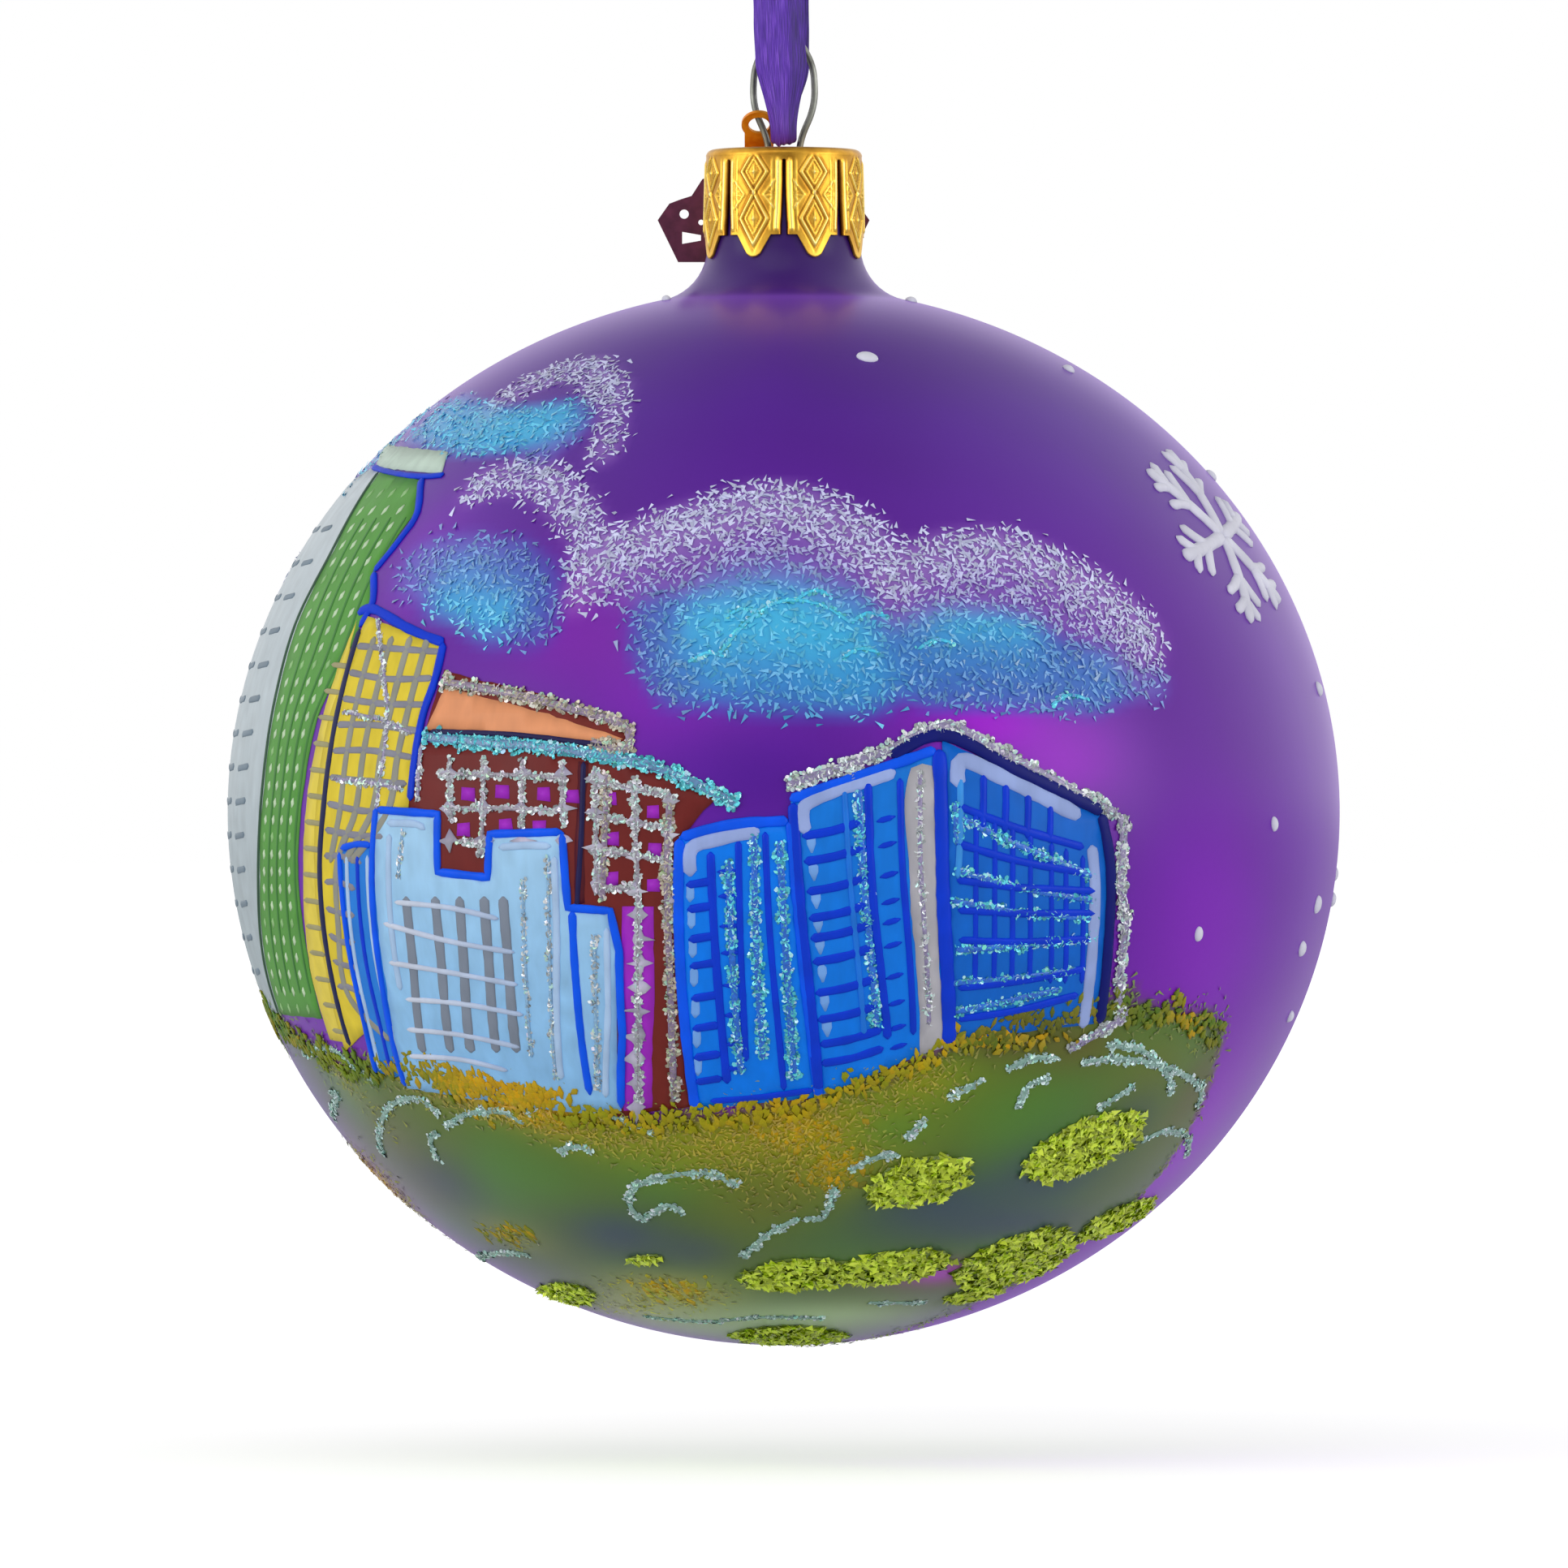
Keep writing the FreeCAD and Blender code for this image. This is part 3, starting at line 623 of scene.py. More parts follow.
# The blobs lowest on the hill, in pale fern and light yellow-green, are partly the hill's paler
# paint and partly painted light thrown up from the table.
HILL_BLOBS = [
    (-30, -23.6, 6, 2.2, AMBER, 0.7),
    (-25, -25.6, 5, 2.0, AMBER, 1.0),
    (-20, -27.6, 4, 2.0, AMBER, 0.8),
    (-15, -29, 5, 2.2, MUSTARD, 0.8),
    (1, -28.4, 7, 2.6, AMBER, 0.75),
    (4, -32, 6, 3.6, MUSTARD, 0.9),
    (-6, -30, 9, 3.4, MUSTARD, 0.85),
    (8, -27.5, 6, 2.6, MUSTARD, 0.7),
    (-1.5, -35, 5, 3.0, OLIVE, 0.7),
    (-10.5, -43, 6.5, 2.2, (182, 180, 46), 0.95),
    (-25, -38, 4.5, 1.8, MUSTARD, 0.7),
    (20, -20.4, 7, 2.2, BARK, 0.85),
    (12, -24, 5, 2.4, MUSTARD, 0.8),
    (27, -21, 5, 2.6, BARK, 0.7),
    (34, -23, 5, 4.0, OLIVE, 0.6),
    (37.5, -24, 3, 5.0, BARK, 0.55),
    (-31, -33, 6, 3.0, PINE, 0.7),
    (-15, -38, 6, 2.8, PINE, 0.95),
    (-8, -39.5, 4, 1.8, PINE, 0.6),
    (14, -35.4, 8, 3.0, PINE, 0.95),
    (24, -32.6, 7, 3.4, PINE, 0.9),
    (31, -28, 4, 3.0, PINE, 0.55),
    (10, -28.5, 4, 2.2, FERN, 0.6),
    (22, -27, 6, 3.0, FERN, 0.6),
    (-22, -33, 6, 3.0, FERN, 0.6),
    (-36, -28, 4, 4.0, OLIVE, 0.6),
    (-40, -23, 3, 3.0, MUSTARD, 0.6),
    (20, -37, 10, 1.8, PINE, 0.8),
    (-13, -45, 9, 2.2, (196, 210, 84), 0.85),
    (14.2, -41.6, 4.4, 1.1, (188, 84, 206), 1.0),
    (8.4, -41.9, 3.0, 0.7, (150, 90, 160), 0.7),
    (4, -45.5, 12, 1.6, PALE_FERN_AND_BOUNCE_LIGHT, 0.9),
    (-6, -46.6, 10, 1.4, PALE_FERN_AND_BOUNCE_LIGHT, 0.7),
]
BACK_BLOBS = [
    (turn, -24 - 6 * math.sin(turn * 0.11) - 5 * (k % 3), 6, 3, tint, 0.8)
    for k, (turn, tint) in enumerate(
        zip(
            range(-172, -76, 8),
            [AMBER, FERN, PINE, MUSTARD, GREEN, PINE, AMBER, FERN, MUSTARD, PINE, BARK, AMBER],
        )
    )
] + [(126, -24, 8, 3, MUSTARD, 0.8), (142, -28, 8, 3, PINE, 0.9), (158, -22, 8, 3, AMBER, 0.8)]
HILL_TOP = front(
    (-46.4, -17.5), (-43, -20.6), (-39.3, -22.4), (-33, -22.4), (-26.8, -24), (-20, -26.4),
    (-15, -27.4), (-5, -27), (3, -25.4), (9.7, -22.9), (17, -19.7), (23, -18.2), (28, -17),
    (35, -17.6), (39.6, -19.4),
)
HILL_TOP = (
    [(-180, -22), (-160, -19.5), (-140, -22.5), (-120, -19), (-100, -20)]
    + HILL_TOP
    + [(HILL_TOP[-1][0] + 4, -26), (HILL_TOP[-1][0] + 7, -34), (HILL_TOP[-1][0] + 9, -48)]
    + [(96, -48), (106, -40), (116, -30), (124, -24), (140, -20), (160, -23), (180, -22)]
)


def between_turns(stops, turn):
    """The height at a turn, from stops that go round."""
    for (low, first), (high, second) in zip(stops, stops[1:]):
        if low <= turn <= high:
            return first + (second - first) * (turn - low) / max(high - low, 1e-6)
    return stops[-1][1]


def spray(tint, turn, height, blobs):
    """A colour with soft oval blobs sprayed over it."""
    around = girth(height) * math.pi / 180
    for blob_turn, blob_height, wide, high, blob_tint, strength in blobs:
        up = (height - blob_height) / high
        if abs(up) > 2.2:
            continue
        side = (turn - blob_turn) * around / wide
        if abs(side) > 2.2:
            continue
        tint = mix(tint, blob_tint, strength * math.exp(-up * up - side * side))
    return tint


def smooth_route(route, step):
    """Points a step apart on a soft curve through the route's turns and heights."""
    out = []
    ends = [route[0], *route, route[-1]]
    scale = math.pi * ACROSS / 180
    for a, b, c, d in zip(ends, ends[1:], ends[2:], ends[3:]):
        far = math.hypot((c[0] - b[0]) * scale, c[1] - b[1])
        count = max(1, round(far / step))
        for k in range(count):
            t = k / count
            spot = []
            for p, q, r, s in zip(a, b, c, d):
                curve = (2 * q) + (r - p) * t + (2 * p - 5 * q + 4 * r - s) * t**2
                spot.append((curve + (3 * q - p - 3 * r + s) * t**3) / 2)
            out.append(tuple(spot))
    out.append(route[-1])
    return out


PUFF_STEP, PUFF_REACH = 1.2, 7.5
puffs = []
for half, tint, band in [(h, t, front(*b)) for h, t, b in CLOUD_BANDS] + BACK_BANDS:
    for turn, height in smooth_route(band, PUFF_STEP):
        puffs.append((on_ball(turn, height)[0], half, tint))

puff_tree = KDTree(len(puffs))
for k, (place, half, tint) in enumerate(puffs):
    puff_tree.insert(place, k)
puff_tree.balance()
sprayed_glows = [(*seen(x, z), *rest) for x, z, *rest in GLOWS]
sprayed_hill = [(*seen(x, z), *rest) for x, z, *rest in HILL_BLOBS] + BACK_BLOBS


def cloud_at(place):
    """How thick the cloud is there, and its colour."""
    bare, total, tint = 1.0, 0.0, (0.0, 0.0, 0.0)
    for _, index, far in puff_tree.find_range(place, PUFF_REACH * MM):
        half, puff_tint = puffs[index][1:]
        weight = max(0.0, 1 - (far / MM / (half * 1.25)) ** 2) ** 2
        if weight:
            bare *= 1 - 0.6 * weight
            total += weight
            tint = tuple(t + weight * p for t, p in zip(tint, puff_tint))
    if not total:
        return 0.0, WHITE
    return 1 - bare, tuple(t / total for t in tint)


HILL_SIDE, HILL_SIDE_DRAWN_IN, DRAWN_IN_BELOW = 66, 9, -34.5
LACQUER_TONE = (0.97, 0.68, 1.04)


def hill_at(turn, height, place):
    """How far inside the hill's edge the place is, in mm, and the hill's colour there."""
    rough = 1.4 * noise.noise(place * 260) + 0.8 * noise.noise(place * 700)
    inside = between_turns(HILL_TOP, turn) - height + rough
    if 40 < turn < 100:
        side = HILL_SIDE - HILL_SIDE_DRAWN_IN * softly((DRAWN_IN_BELOW - height) / 4)
        inside = min(inside, (side - turn) * girth(height) * math.pi / 180 + rough)
    tint = mix(GREEN, FERN, 0.5 + 0.5 * noise.noise(place * 140 + Vector((3, 1, 7))))
    tint = mix(tint, OLIVE, softly(0.45 + noise.noise(place * 90 + Vector((8, 2, 1)))) * 0.5)
    tint = spray(tint, turn, height, sprayed_hill)
    # Painted light: the lowest band pales towards light fern green, standing in for light from the
    # table below.
    if height < -44:
        tint = mix(tint, PALE_FERN_AND_BOUNCE_LIGHT, 0.35 * softly((-44 - height) / 2))
    return inside, tint


def undercoat(turn, height, place):
    """The sprayed colour of the ball, and what the raised flecks over it need."""
    tint = between(VIOLET, height)
    tint = spray(tint, turn, height, sprayed_glows)
    mottle = noise.noise(place * 55) * 0.06 + noise.noise(place * 160) * 0.025
    tint = tuple(max(0, t * part * (1 + mottle)) for t, part in zip(tint, LACQUER_TONE))
    thick, cloud_tint = cloud_at(place)
    blue = softly((cloud_tint[2] - cloud_tint[0] - 30) / 100)
    tint = mix(tint, cloud_tint, thick * (0.56 + 0.36 * blue))
    inside, hill_tint = hill_at(turn, height, place)
    cover = softly(inside / 2.2 + 0.5)
    tint = mix(tint, hill_tint, cover)
    return tint, thick * (1 - cover), cloud_tint, cover, inside, hill_tint


def arc(middle, across, up, first, last, count):
    """Points along part of an oval, apart from its first, between two angles in degrees."""
    points = []
    for k in range(1, count + 1):
        t = math.radians(first + (last - first) * k / count)
        points.append((middle[0] + across * math.cos(t), middle[1] + up * math.sin(t)))
    return points


def ball_outline():
    """Radius and height of the wall from the lowest point outside, over the rim, to inside."""
    outside = arc((0, 0), ACROSS, DROP, -90, 0, 92) + arc((0, 0), ACROSS, RISE, 0, 77.43, 78)
    outside += arc(FLARE_MIDDLE, FLARE, FLARE, 258.1, 184.0, 10)
    foot, neck_height = NECK_FOOT[1], RIM_HEIGHT - LIP - NECK_FOOT[1]
    for k in range(1, 9):
        outside.append((NECK_FOOT[0] - NECK_TAPER * k / 8, foot + neck_height * k / 8))
    rim = [(6.2, -0.1), (5.9, 0.0), (5.6, -0.1), (5.5, -LIP)]
    inside = [(r, RIM_HEIGHT + z) for r, z in rim] + [(5.8, 54.6), (6.12, 50.55)]
    inside += arc(FLARE_MIDDLE, FLARE + WALL, FLARE + WALL, 184.0, 258.1, 6)
    inside += arc((0, 0), ACROSS - WALL, RISE - WALL, 77.2, 0, 20)
    inside += arc((0, 0), ACROSS - WALL, DROP - WALL, 0, -90 * 13 / 14, 13)
    return outside, inside


SEGMENTS = 356
outside, inside = ball_outline()
verts, tints, flecks = [], [], []
for number, (radius, height) in enumerate(outside + inside):
    for step in range(SEGMENTS):
        turn = -180 + 360 * step / SEGMENTS
        angle = math.radians(turn)
        place = Vector((radius * math.sin(angle), -radius * math.cos(angle), height)) * MM
        verts.append(place + BALL_MIDDLE)
        if number < len(outside):
            tint, *raised = undercoat(turn, height, verts[-1])
            flecks.append(raised)
        else:
            tint = SILVERING if number > len(outside) + 1 else between(VIOLET, height)
        tints.append(srgb(*tint))
rows = len(outside) + len(inside)
faces = wall_faces(SEGMENTS, rows)
foot_tint = undercoat(0, -DROP, BALL_MIDDLE)[0]
for height, row, tint in ((-DROP, 0, foot_tint), (WALL - DROP, rows - 1, SILVERING)):
    pole = len(verts)
    verts.append(Vector((0, 0, height * MM)) + BALL_MIDDLE)
    tints.append(srgb(*tint))
    for step in range(SEGMENTS):
        a, b = row * SEGMENTS + step, row * SEGMENTS + (step + 1) % SEGMENTS
        faces.append((b, a, pole) if row == 0 else (a, b, pole))


def keep_colours(piece, tints):
    """Stores one colour for each vertex of a piece."""
    layer = piece.data.color_attributes.new("coat", "FLOAT_COLOR", "POINT")
    layer.data.foreach_set("color", [part for tint in tints for part in (*tint, 1.0)])


def lacquer():
    """Satin lacquer: the sprayed colour, a faint orange-peel surface and a soft clear coat."""
    shade = Shade(bpy.data.materials.new("satin_lacquer"))
    spot = shade.node("TexCoord", out=3)
    grain = shade.node("TexNoise", Vector=spot, Scale=2600.0, Detail=2.0)
    cloudy = shade.node("TexNoise", Vector=spot, Scale=60.0, Detail=3.0)
    bump = shade.node("Bump", Strength=0.12, Distance=0.00004, Height=grain)
    return shade.surface(
        Base_Color=shade.coat(0.94 + 0.06 * cloudy + 0.06 * grain),
        Roughness=0.42 + 0.12 * cloudy,
        IOR=1.2,
        Sheen_Weight=0.62,
        Sheen_Roughness=0.36,
        Sheen_Tint=srgb(182, 112, 255),
        Coat_Weight=1.0,
        Coat_IOR=1.26,
        Coat_Roughness=0.3,
        Normal=bump,
    )


ball = new_piece("lacquered_ball", verts, faces, lacquer())
keep_colours(ball, tints)
face_outwards(ball)
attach(ball, "ball")
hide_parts("glass_ball")


# ----------------------------------------
# Clouds and scrub: slivers of clear flitter pressed into wet paint, white and blue in the clouds,
# gold and green on the hill. Each sliver is a thin triangle that lies nearly flat on the ball.


FLECK_SIZES = ("Flakes per Square Metre", "Flake Radius", "Narrowness", "Tilt", "Stand-off")


def fleck_tree(name, corners):
    """Scatters small flat flakes over a mesh, more where its attribute called thick is higher."""
    tree = bpy.data.node_groups.new(name, "GeometryNodeTree")
    face = tree.interface
    face.new_socket("Geometry", in_out="INPUT", socket_type="NodeSocketGeometry")
    for label in FLECK_SIZES:
        face.new_socket(label, in_out="INPUT", socket_type="NodeSocketFloat")
    face.new_socket("Seed", in_out="INPUT", socket_type="NodeSocketInt")
    face.new_socket("Finish", in_out="INPUT", socket_type="NodeSocketMaterial")
    face.new_socket("Geometry", in_out="OUTPUT", socket_type="NodeSocketGeometry")

    def add(kind, settings=None, **sockets):
        made = tree.nodes.new(kind)
        for key, value in (settings or {}).items():
            setattr(made, key, value)
        for key, value in sockets.items():
            index = int(key[1:]) if key[0] == "i" and key[1:].isdigit() else key.replace("_", " ")
            if isinstance(value, bpy.types.NodeSocket):
                tree.links.new(value, made.inputs[index])
            else:
                made.inputs[index].default_value = value
        return made.outputs

    def product(first, second):
        return add("ShaderNodeMath", {"operation": "MULTIPLY"}, i0=first, i1=second)[0]

    def chance(low, high, seed):
        settings = {"data_type": "FLOAT"}
        return add("FunctionNodeRandomValue", settings, i2=low, i3=high, Seed=seed)[1]

    given = add("NodeGroupInput")
    thick = add("GeometryNodeInputNamedAttribute", {"data_type": "FLOAT"}, Name="thick")[0]
    points = add(
        "GeometryNodeDistributePointsOnFaces",
        Mesh=given["Geometry"],
        Density=product(thick, given["Flakes per Square Metre"]),
        Seed=given["Seed"],
    )
    tilt, back = given["Tilt"], product(given["Tilt"], -1.0)
    lowest = add("ShaderNodeCombineXYZ", X=back, Y=back, Z=0.0)
    highest = add("ShaderNodeCombineXYZ", X=tilt, Y=tilt, Z=2 * math.pi)
    vector = {"data_type": "FLOAT_VECTOR"}
    lean = add("FunctionNodeRandomValue", vector, i0=lowest[0], i1=highest[0])
    turned = add("FunctionNodeEulerToRotation", i0=lean[0])
    local = {"rotation_space": "LOCAL"}
    rotation = add("FunctionNodeRotateRotation", local, i0=points["Rotation"], i1=turned[0])
    lift = chance(0.0, given["Stand-off"], 5)
    offset = add("ShaderNodeVectorMath", {"operation": "SCALE"}, i0=points["Normal"], Scale=lift)
    raised = add("GeometryNodeSetPosition", Geometry=points["Points"], Offset=offset[0])
    radius = given["Flake Radius"]
    flake = add("GeometryNodeMeshCircle", {"fill_type": "NGON"}, Vertices=corners, Radius=radius)
    size = chance(0.55, 1.25, 9)
    scale = add("ShaderNodeCombineXYZ", X=size, Y=product(size, given["Narrowness"]), Z=1.0)
    placed = add(
        "GeometryNodeInstanceOnPoints",
        Points=raised[0],
        Instance=flake[0],
        Rotation=rotation[0],
        Scale=scale[0],
    )
    marked = add(
        "GeometryNodeStoreNamedAttribute",
        {"data_type": "FLOAT", "domain": "INSTANCE"},
        Geometry=placed[0],
        Name="spark",
        Value=chance(0.0, 1.0, 13),
    )
    real = add("GeometryNodeRealizeInstances", Geometry=marked[0])
    coated = add("GeometryNodeSetMaterial", Geometry=real[0], Material=given["Finish"])
    add("NodeGroupOutput", Geometry=coated[0])
    return tree


def finished(maker, name):
    """Replaces an object by a plain mesh of what its modifiers make."""
    bpy.context.view_layer.update()
    graph = bpy.context.evaluated_depsgraph_get()
    mesh = bpy.data.meshes.new_from_object(maker.evaluated_get(graph), depsgraph=graph)
    mesh.name = name
    bpy.data.objects.remove(maker)
    piece = bpy.data.objects.new(name, mesh)
    scene.collection.objects.link(piece)
    return piece


def scatter(name, carrier, tree, finish, density, radius, narrowness, tilt, standoff, seed):
    """Runs a fleck tree on a carrier mesh and returns the flakes alone, as a piece."""
    values = dict(zip(FLECK_SIZES, (density, radius, narrowness, tilt, standoff)))
    values |= {"Seed": seed, "Finish": finish}
    modifier = carrier.modifiers.new("flakes", "NODES")
    modifier.node_group = tree
    for item in tree.interface.items_tree:
        if item.in_out == "INPUT" and item.name in values:
            modifier[item.identifier] = values[item.name]
    carrier.update_tag()
    piece = finished(carrier, name)
    mesh = piece.data
    if not mesh.materials:
        mesh.materials.append(finish)
    mesh.materials[0] = finish
    return piece


def keep_numbers(piece, values, name="thick"):
    """Stores one number for each vertex of a piece."""
    layer = piece.data.attributes.new(name, "FLOAT", "POINT")
    layer.data.foreach_set("value", values)


def carrier_from_ball(name, choose):
    """A copy of the ball's outside where choose gives flecks, with their colour and density."""
    chosen = [choose(*raised, verts[k]) for k, raised in enumerate(flecks)]
    used, index = [], {}
    kept = []
    for face in faces:
        if len(face) == 4 and max(face) < len(flecks) and any(chosen[k][0] > 0.02 for k in face):
            for k in face:
                if k not in index:
                    index[k] = len(used)
                    used.append(k)
            kept.append(tuple(index[k] for k in face))
    carrier = new_piece(name, [verts[k] for k in used], kept, ball.data.materials[0])
    keep_colours(carrier, [srgb(*chosen[k][1]) for k in used])
    keep_numbers(carrier, [chosen[k][0] for k in used])
    return carrier


def sliver_finish(name, glint_share, dark, bright_end):
    """Slivers in their paint's colour, paler or darker from one to the next, some with a painted
    glint of near white.
    """
    shade = Shade(bpy.data.materials.new(name))
    spark = shade.node("Attribute", {"attribute_name": "spark"}, out=2)
    bright = spark.within(0.55, 1.0)
    # Painted glints: some of the brighter slivers are mixed towards near white.
    glint_white = (0.93, 0.95, 1.0, 1.0)
    tint = shade.blend(glint_share * bright, shade.coat(dark + bright_end * spark), glint_white)
    return shade.surface(
        Base_Color=tint,
        Roughness=0.25 + 0.3 * spark,
        Specular_IOR_Level=0.7,
        Coat_Weight=0.6,
        Coat_Roughness=0.15,
    )


sliver_tree = fleck_tree("slivers_in_wet_paint", 3)


def cloud_flecks(thick, cloud_tint, cover, inside, hill_tint, place):
    """How densely flitter lies in the clouds there, and its colour."""
    patchy = 0.75 + 0.5 * noise.noise(place * 420)
    pale = softly((cloud_tint[0] - 110) / 60)
    fleck_tint = mix(mix(cloud_tint, AZURE, 0.2), (224, 216, 250), 0.04 + 0.55 * pale)
    return min(1.0, thick * 1.2) ** 1.1 * patchy * (0.55 + 0.45 * pale), fleck_tint


def hill_flecks(thick, cloud_tint, cover, inside, hill_tint, place):
    """How densely flitter lies on the hill there, and its colour."""
    yellow = max(0.0, (hill_tint[0] - hill_tint[2]) / 160)
    edge = math.exp(-(((inside - 0.6) / 1.6) ** 2))
    patchy = 0.8 + 0.5 * noise.noise(place * 300)
    dense = (0.7 * edge + cover * 2.4 * max(0, yellow - 0.42)) * patchy
    return max(0.0, min(1.0, dense)), mix(hill_tint, AMBER, 0.4 * yellow)


for name, choose, finish, density, radius, narrowness, tilt, seed in (
    ("cloud_slivers", cloud_flecks, ("cloud_flitter", 0.1, 0.72, 0.5), 8.0e6, 0.56, 0.36, 0.32, 3),
    ("hill_slivers", hill_flecks, ("scrub_paint", 0.0, 0.8, 0.5), 7.5e6, 0.46, 0.3, 0.3, 8),
):
    carrier = carrier_from_ball(name + "_carrier", choose)
    finish = sliver_finish(*finish)
    slivers = scatter(
        name, carrier, sliver_tree, finish, density, radius * MM, narrowness, tilt, 0.16 * MM, seed
    )
    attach(slivers, "ball")


# ----------------------------------------
# Enamel: the skyline, brushed on by hand over the lacquer in flat fields and then in thicker
# outlines and window strokes. The paint stands about a tenth of a millimetre proud.

ARC = math.pi * ACROSS / 180
EDGE_STEP, BRUSH_STEP, FILM_PITCH, DROP_HEIGHT = 0.9, 0.55, 1.25, 0.45
SUNK = 0.03  # mm, how far the underside of the paint lies in the lacquer


def with_across(rails):
    """Each place along a stroke, with the directions out of the glass and across the stroke."""
    for k, (place, out) in enumerate(rails):
        before, after = rails[max(k - 1, 0)][0], rails[min(k + 1, len(rails) - 1)][0]
        yield place, out, (after - before).normalized().cross(out).normalized()


class Enamel:
    """Raised paint gathered into one mesh, with a colour for each vertex."""

    def __init__(self):
        self.verts, self.faces, self.tints = [], [], []

    def field(self, outline, tint, lift, second=None, streak=0.07):
        """A closed film over an outline of turns and heights. Its colour may fade to a second."""
        wobbly = []
        for (turn, height), (next_turn, next_height) in zip(outline, outline[1:] + outline[:1]):
            far = math.hypot((next_turn - turn) * ARC, next_height - height)
            count = max(1, round(far / EDGE_STEP))
            for k in range(count):
                t = k / count
                x = (turn + (next_turn - turn) * t) * ARC
                y = height + (next_height - height) * t
                shake = 0.14 * noise.noise(Vector((x * 0.9, y * 0.9, 5.0)))
                shift = 0.14 * noise.noise(Vector((x * 0.9, y * 0.9, 9.0)))
                wobbly.append(Vector((x + shake, y + shift)))
        low = Vector((min(p.x for p in wobbly), min(p.y for p in wobbly)))
        high = Vector((max(p.x for p in wobbly), max(p.y for p in wobbly)))
        spots = list(wobbly)
        for i in range(int((high.x - low.x) / FILM_PITCH) + 1):
            for j in range(int((high.y - low.y) / FILM_PITCH) + 1):
                spot = low + Vector(((i + 0.5 * (j % 2)) * FILM_PITCH, j * FILM_PITCH))
                near = min((spot - edge).length for edge in wobbly)
                if near > 0.55 and self.inside(spot, wobbly):
                    spots.append(spot)
        ring = list(range(len(wobbly)))
        flat, _, triangles, *_ = delaunay_2d_cdt(spots, [], [ring], 1, 1e-5, False)
        middles = [(flat[a] + flat[b] + flat[c]) / 3 for a, b, c in triangles]
        triangles = [t for t, m in zip(triangles, middles) if self.inside(m, wobbly)]
        start, count = len(self.verts), len(flat)
        tall = max(high.y - low.y, 1e-6)
        for level in (lift, -SUNK):
            for spot in flat:
                place, _ = on_ball(spot.x / ARC, spot.y, level)
                self.verts.append(place)
                shade = mix(tint, second, (spot.y - low.y) / tall) if second else tint
                run = noise.noise(Vector((spot.x * 1.3, spot.y * 0.25, 2.0)))
                shade = tuple(min(255, part * (1 + streak * run)) for part in shade)
                self.tints.append(srgb(*shade))
        edges = {}
        for triangle in triangles:
            self.faces.append(tuple(start + k for k in triangle))
            self.faces.append(tuple(start + count + k for k in reversed(triangle)))
            for a, b in zip(triangle, triangle[1:] + triangle[:1]):
                edges[(a, b)] = edges.get((a, b), 0) + 1
        for a, b in edges:
            if (b, a) not in edges:
                self.faces.append((start + b, start + a, start + count + a, start + count + b))

    @staticmethod
    def inside(spot, ring):
        """Whether a spot lies inside a closed ring."""
        hit = False
        for a, b in zip(ring, ring[1:] + ring[:1]):
            if (a.y > spot.y) != (b.y > spot.y):
                if spot.x < (b.x - a.x) * (spot.y - a.y) / (b.y - a.y) + a.x:
                    hit = not hit
        return hit

    def line(self, route, wide, tint, lift=0.1, high=0.12, second=None, taper=0.5, curved=True):
        """A rounded brush stroke along a route of turns and heights."""
        if curved:
            spots = smooth_route(route, BRUSH_STEP)
        else:
            spots = []
            for a, b in zip(route, route[1:]):
                far = math.hypot((b[0] - a[0]) * ARC, b[1] - a[1])
                count = max(1, round(far / BRUSH_STEP))
                spots += [mix(a, b, k / count) for k in range(count)]
            spots.append(route[-1])
        rails = [on_ball(turn, height, lift) for turn, height in spots]
        runs = [0.0]
        for a, b in zip(rails, rails[1:]):
            runs.append(runs[-1] + (b[0] - a[0]).length / MM)
        total = max(runs[-1], 1e-6)
        start = len(self.verts)
        half_profile = ((1, -0.2 - lift / high), (0.94, 0.25), (0.5, 0.82), (0, 1))
        profile = [(-side, rise) for side, rise in half_profile] + [*half_profile[2::-1]]
        for k, (place, out, across) in enumerate(with_across(rails)):
            end = min(runs[k], total - runs[k]) / max(taper * wide, 1e-6)
            full = math.sqrt(max(0.04, 1 - (1 - min(1, end)) ** 2))
            uneven = 1 + 0.16 * noise.noise(Vector((place.x * 900, place.y * 900, place.z * 900)))
            half = wide / 2 * full * uneven
            shade = mix(tint, second, runs[k] / total) if second else tint
            run = noise.noise(Vector((place.x * 500, place.z * 500, 4.0)))
            shade = srgb(*(min(255, part * (1 + 0.07 * run)) for part in shade))
            for side, rise in profile:
                self.verts.append(place + across * side * half * MM + out * rise * high * full * MM)
                self.tints.append(shade)
        self.faces += tube_faces(len(profile), len(rails), start)

    def strokes(self, lift, high, *table):
        """Lines of one thickness along routes seen from the front, each with its width and tint."""
        for route, wide, tint in table:
            self.line(front(*route), wide, tint, lift, high)

    def dot(self, spot, wide, tint, tall=1.0):
        """A drop of thick enamel."""
        high = DROP_HEIGHT
        place, out = on_ball(*spot)
        across = Vector((0, 0, 1)).cross(out).normalized()
        up = out.cross(across)
        start, sides, rings = len(self.verts), 16, 6
        for ring in range(rings):
            t = math.radians(90 * ring / rings)
            for side in range(sides):
                angle = 2 * math.pi * side / sides
                blob = wide / 2 * math.cos(t) * (1 + 0.08 * math.sin(2 * angle + spot[0]))
                shift = across * math.cos(angle) + up * math.sin(angle) * tall
                rise = high * math.sin(t) - SUNK
                self.verts.append(place + (shift * blob + out * rise) * MM)
        self.verts.append(place + out * (high - SUNK) * MM)
        self.tints += [srgb(*tint)] * (rings * sides + 1)
        self.faces += wall_faces(sides, rings, start)
        top = start + (rings - 1) * sides
        for side in range(sides):
            self.faces.append((top + side, top + (side + 1) % sides, start + rings * sides))
        self.faces.append(tuple(start + side for side in reversed(range(sides))))

    def finish(self, name, material):
        """Makes the gathered paint one piece on the ball."""
        piece = new_piece(name, self.verts, self.faces, material)
        keep_colours(piece, self.tints)
        face_outwards(piece)
        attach(piece, "ball")
        return piece


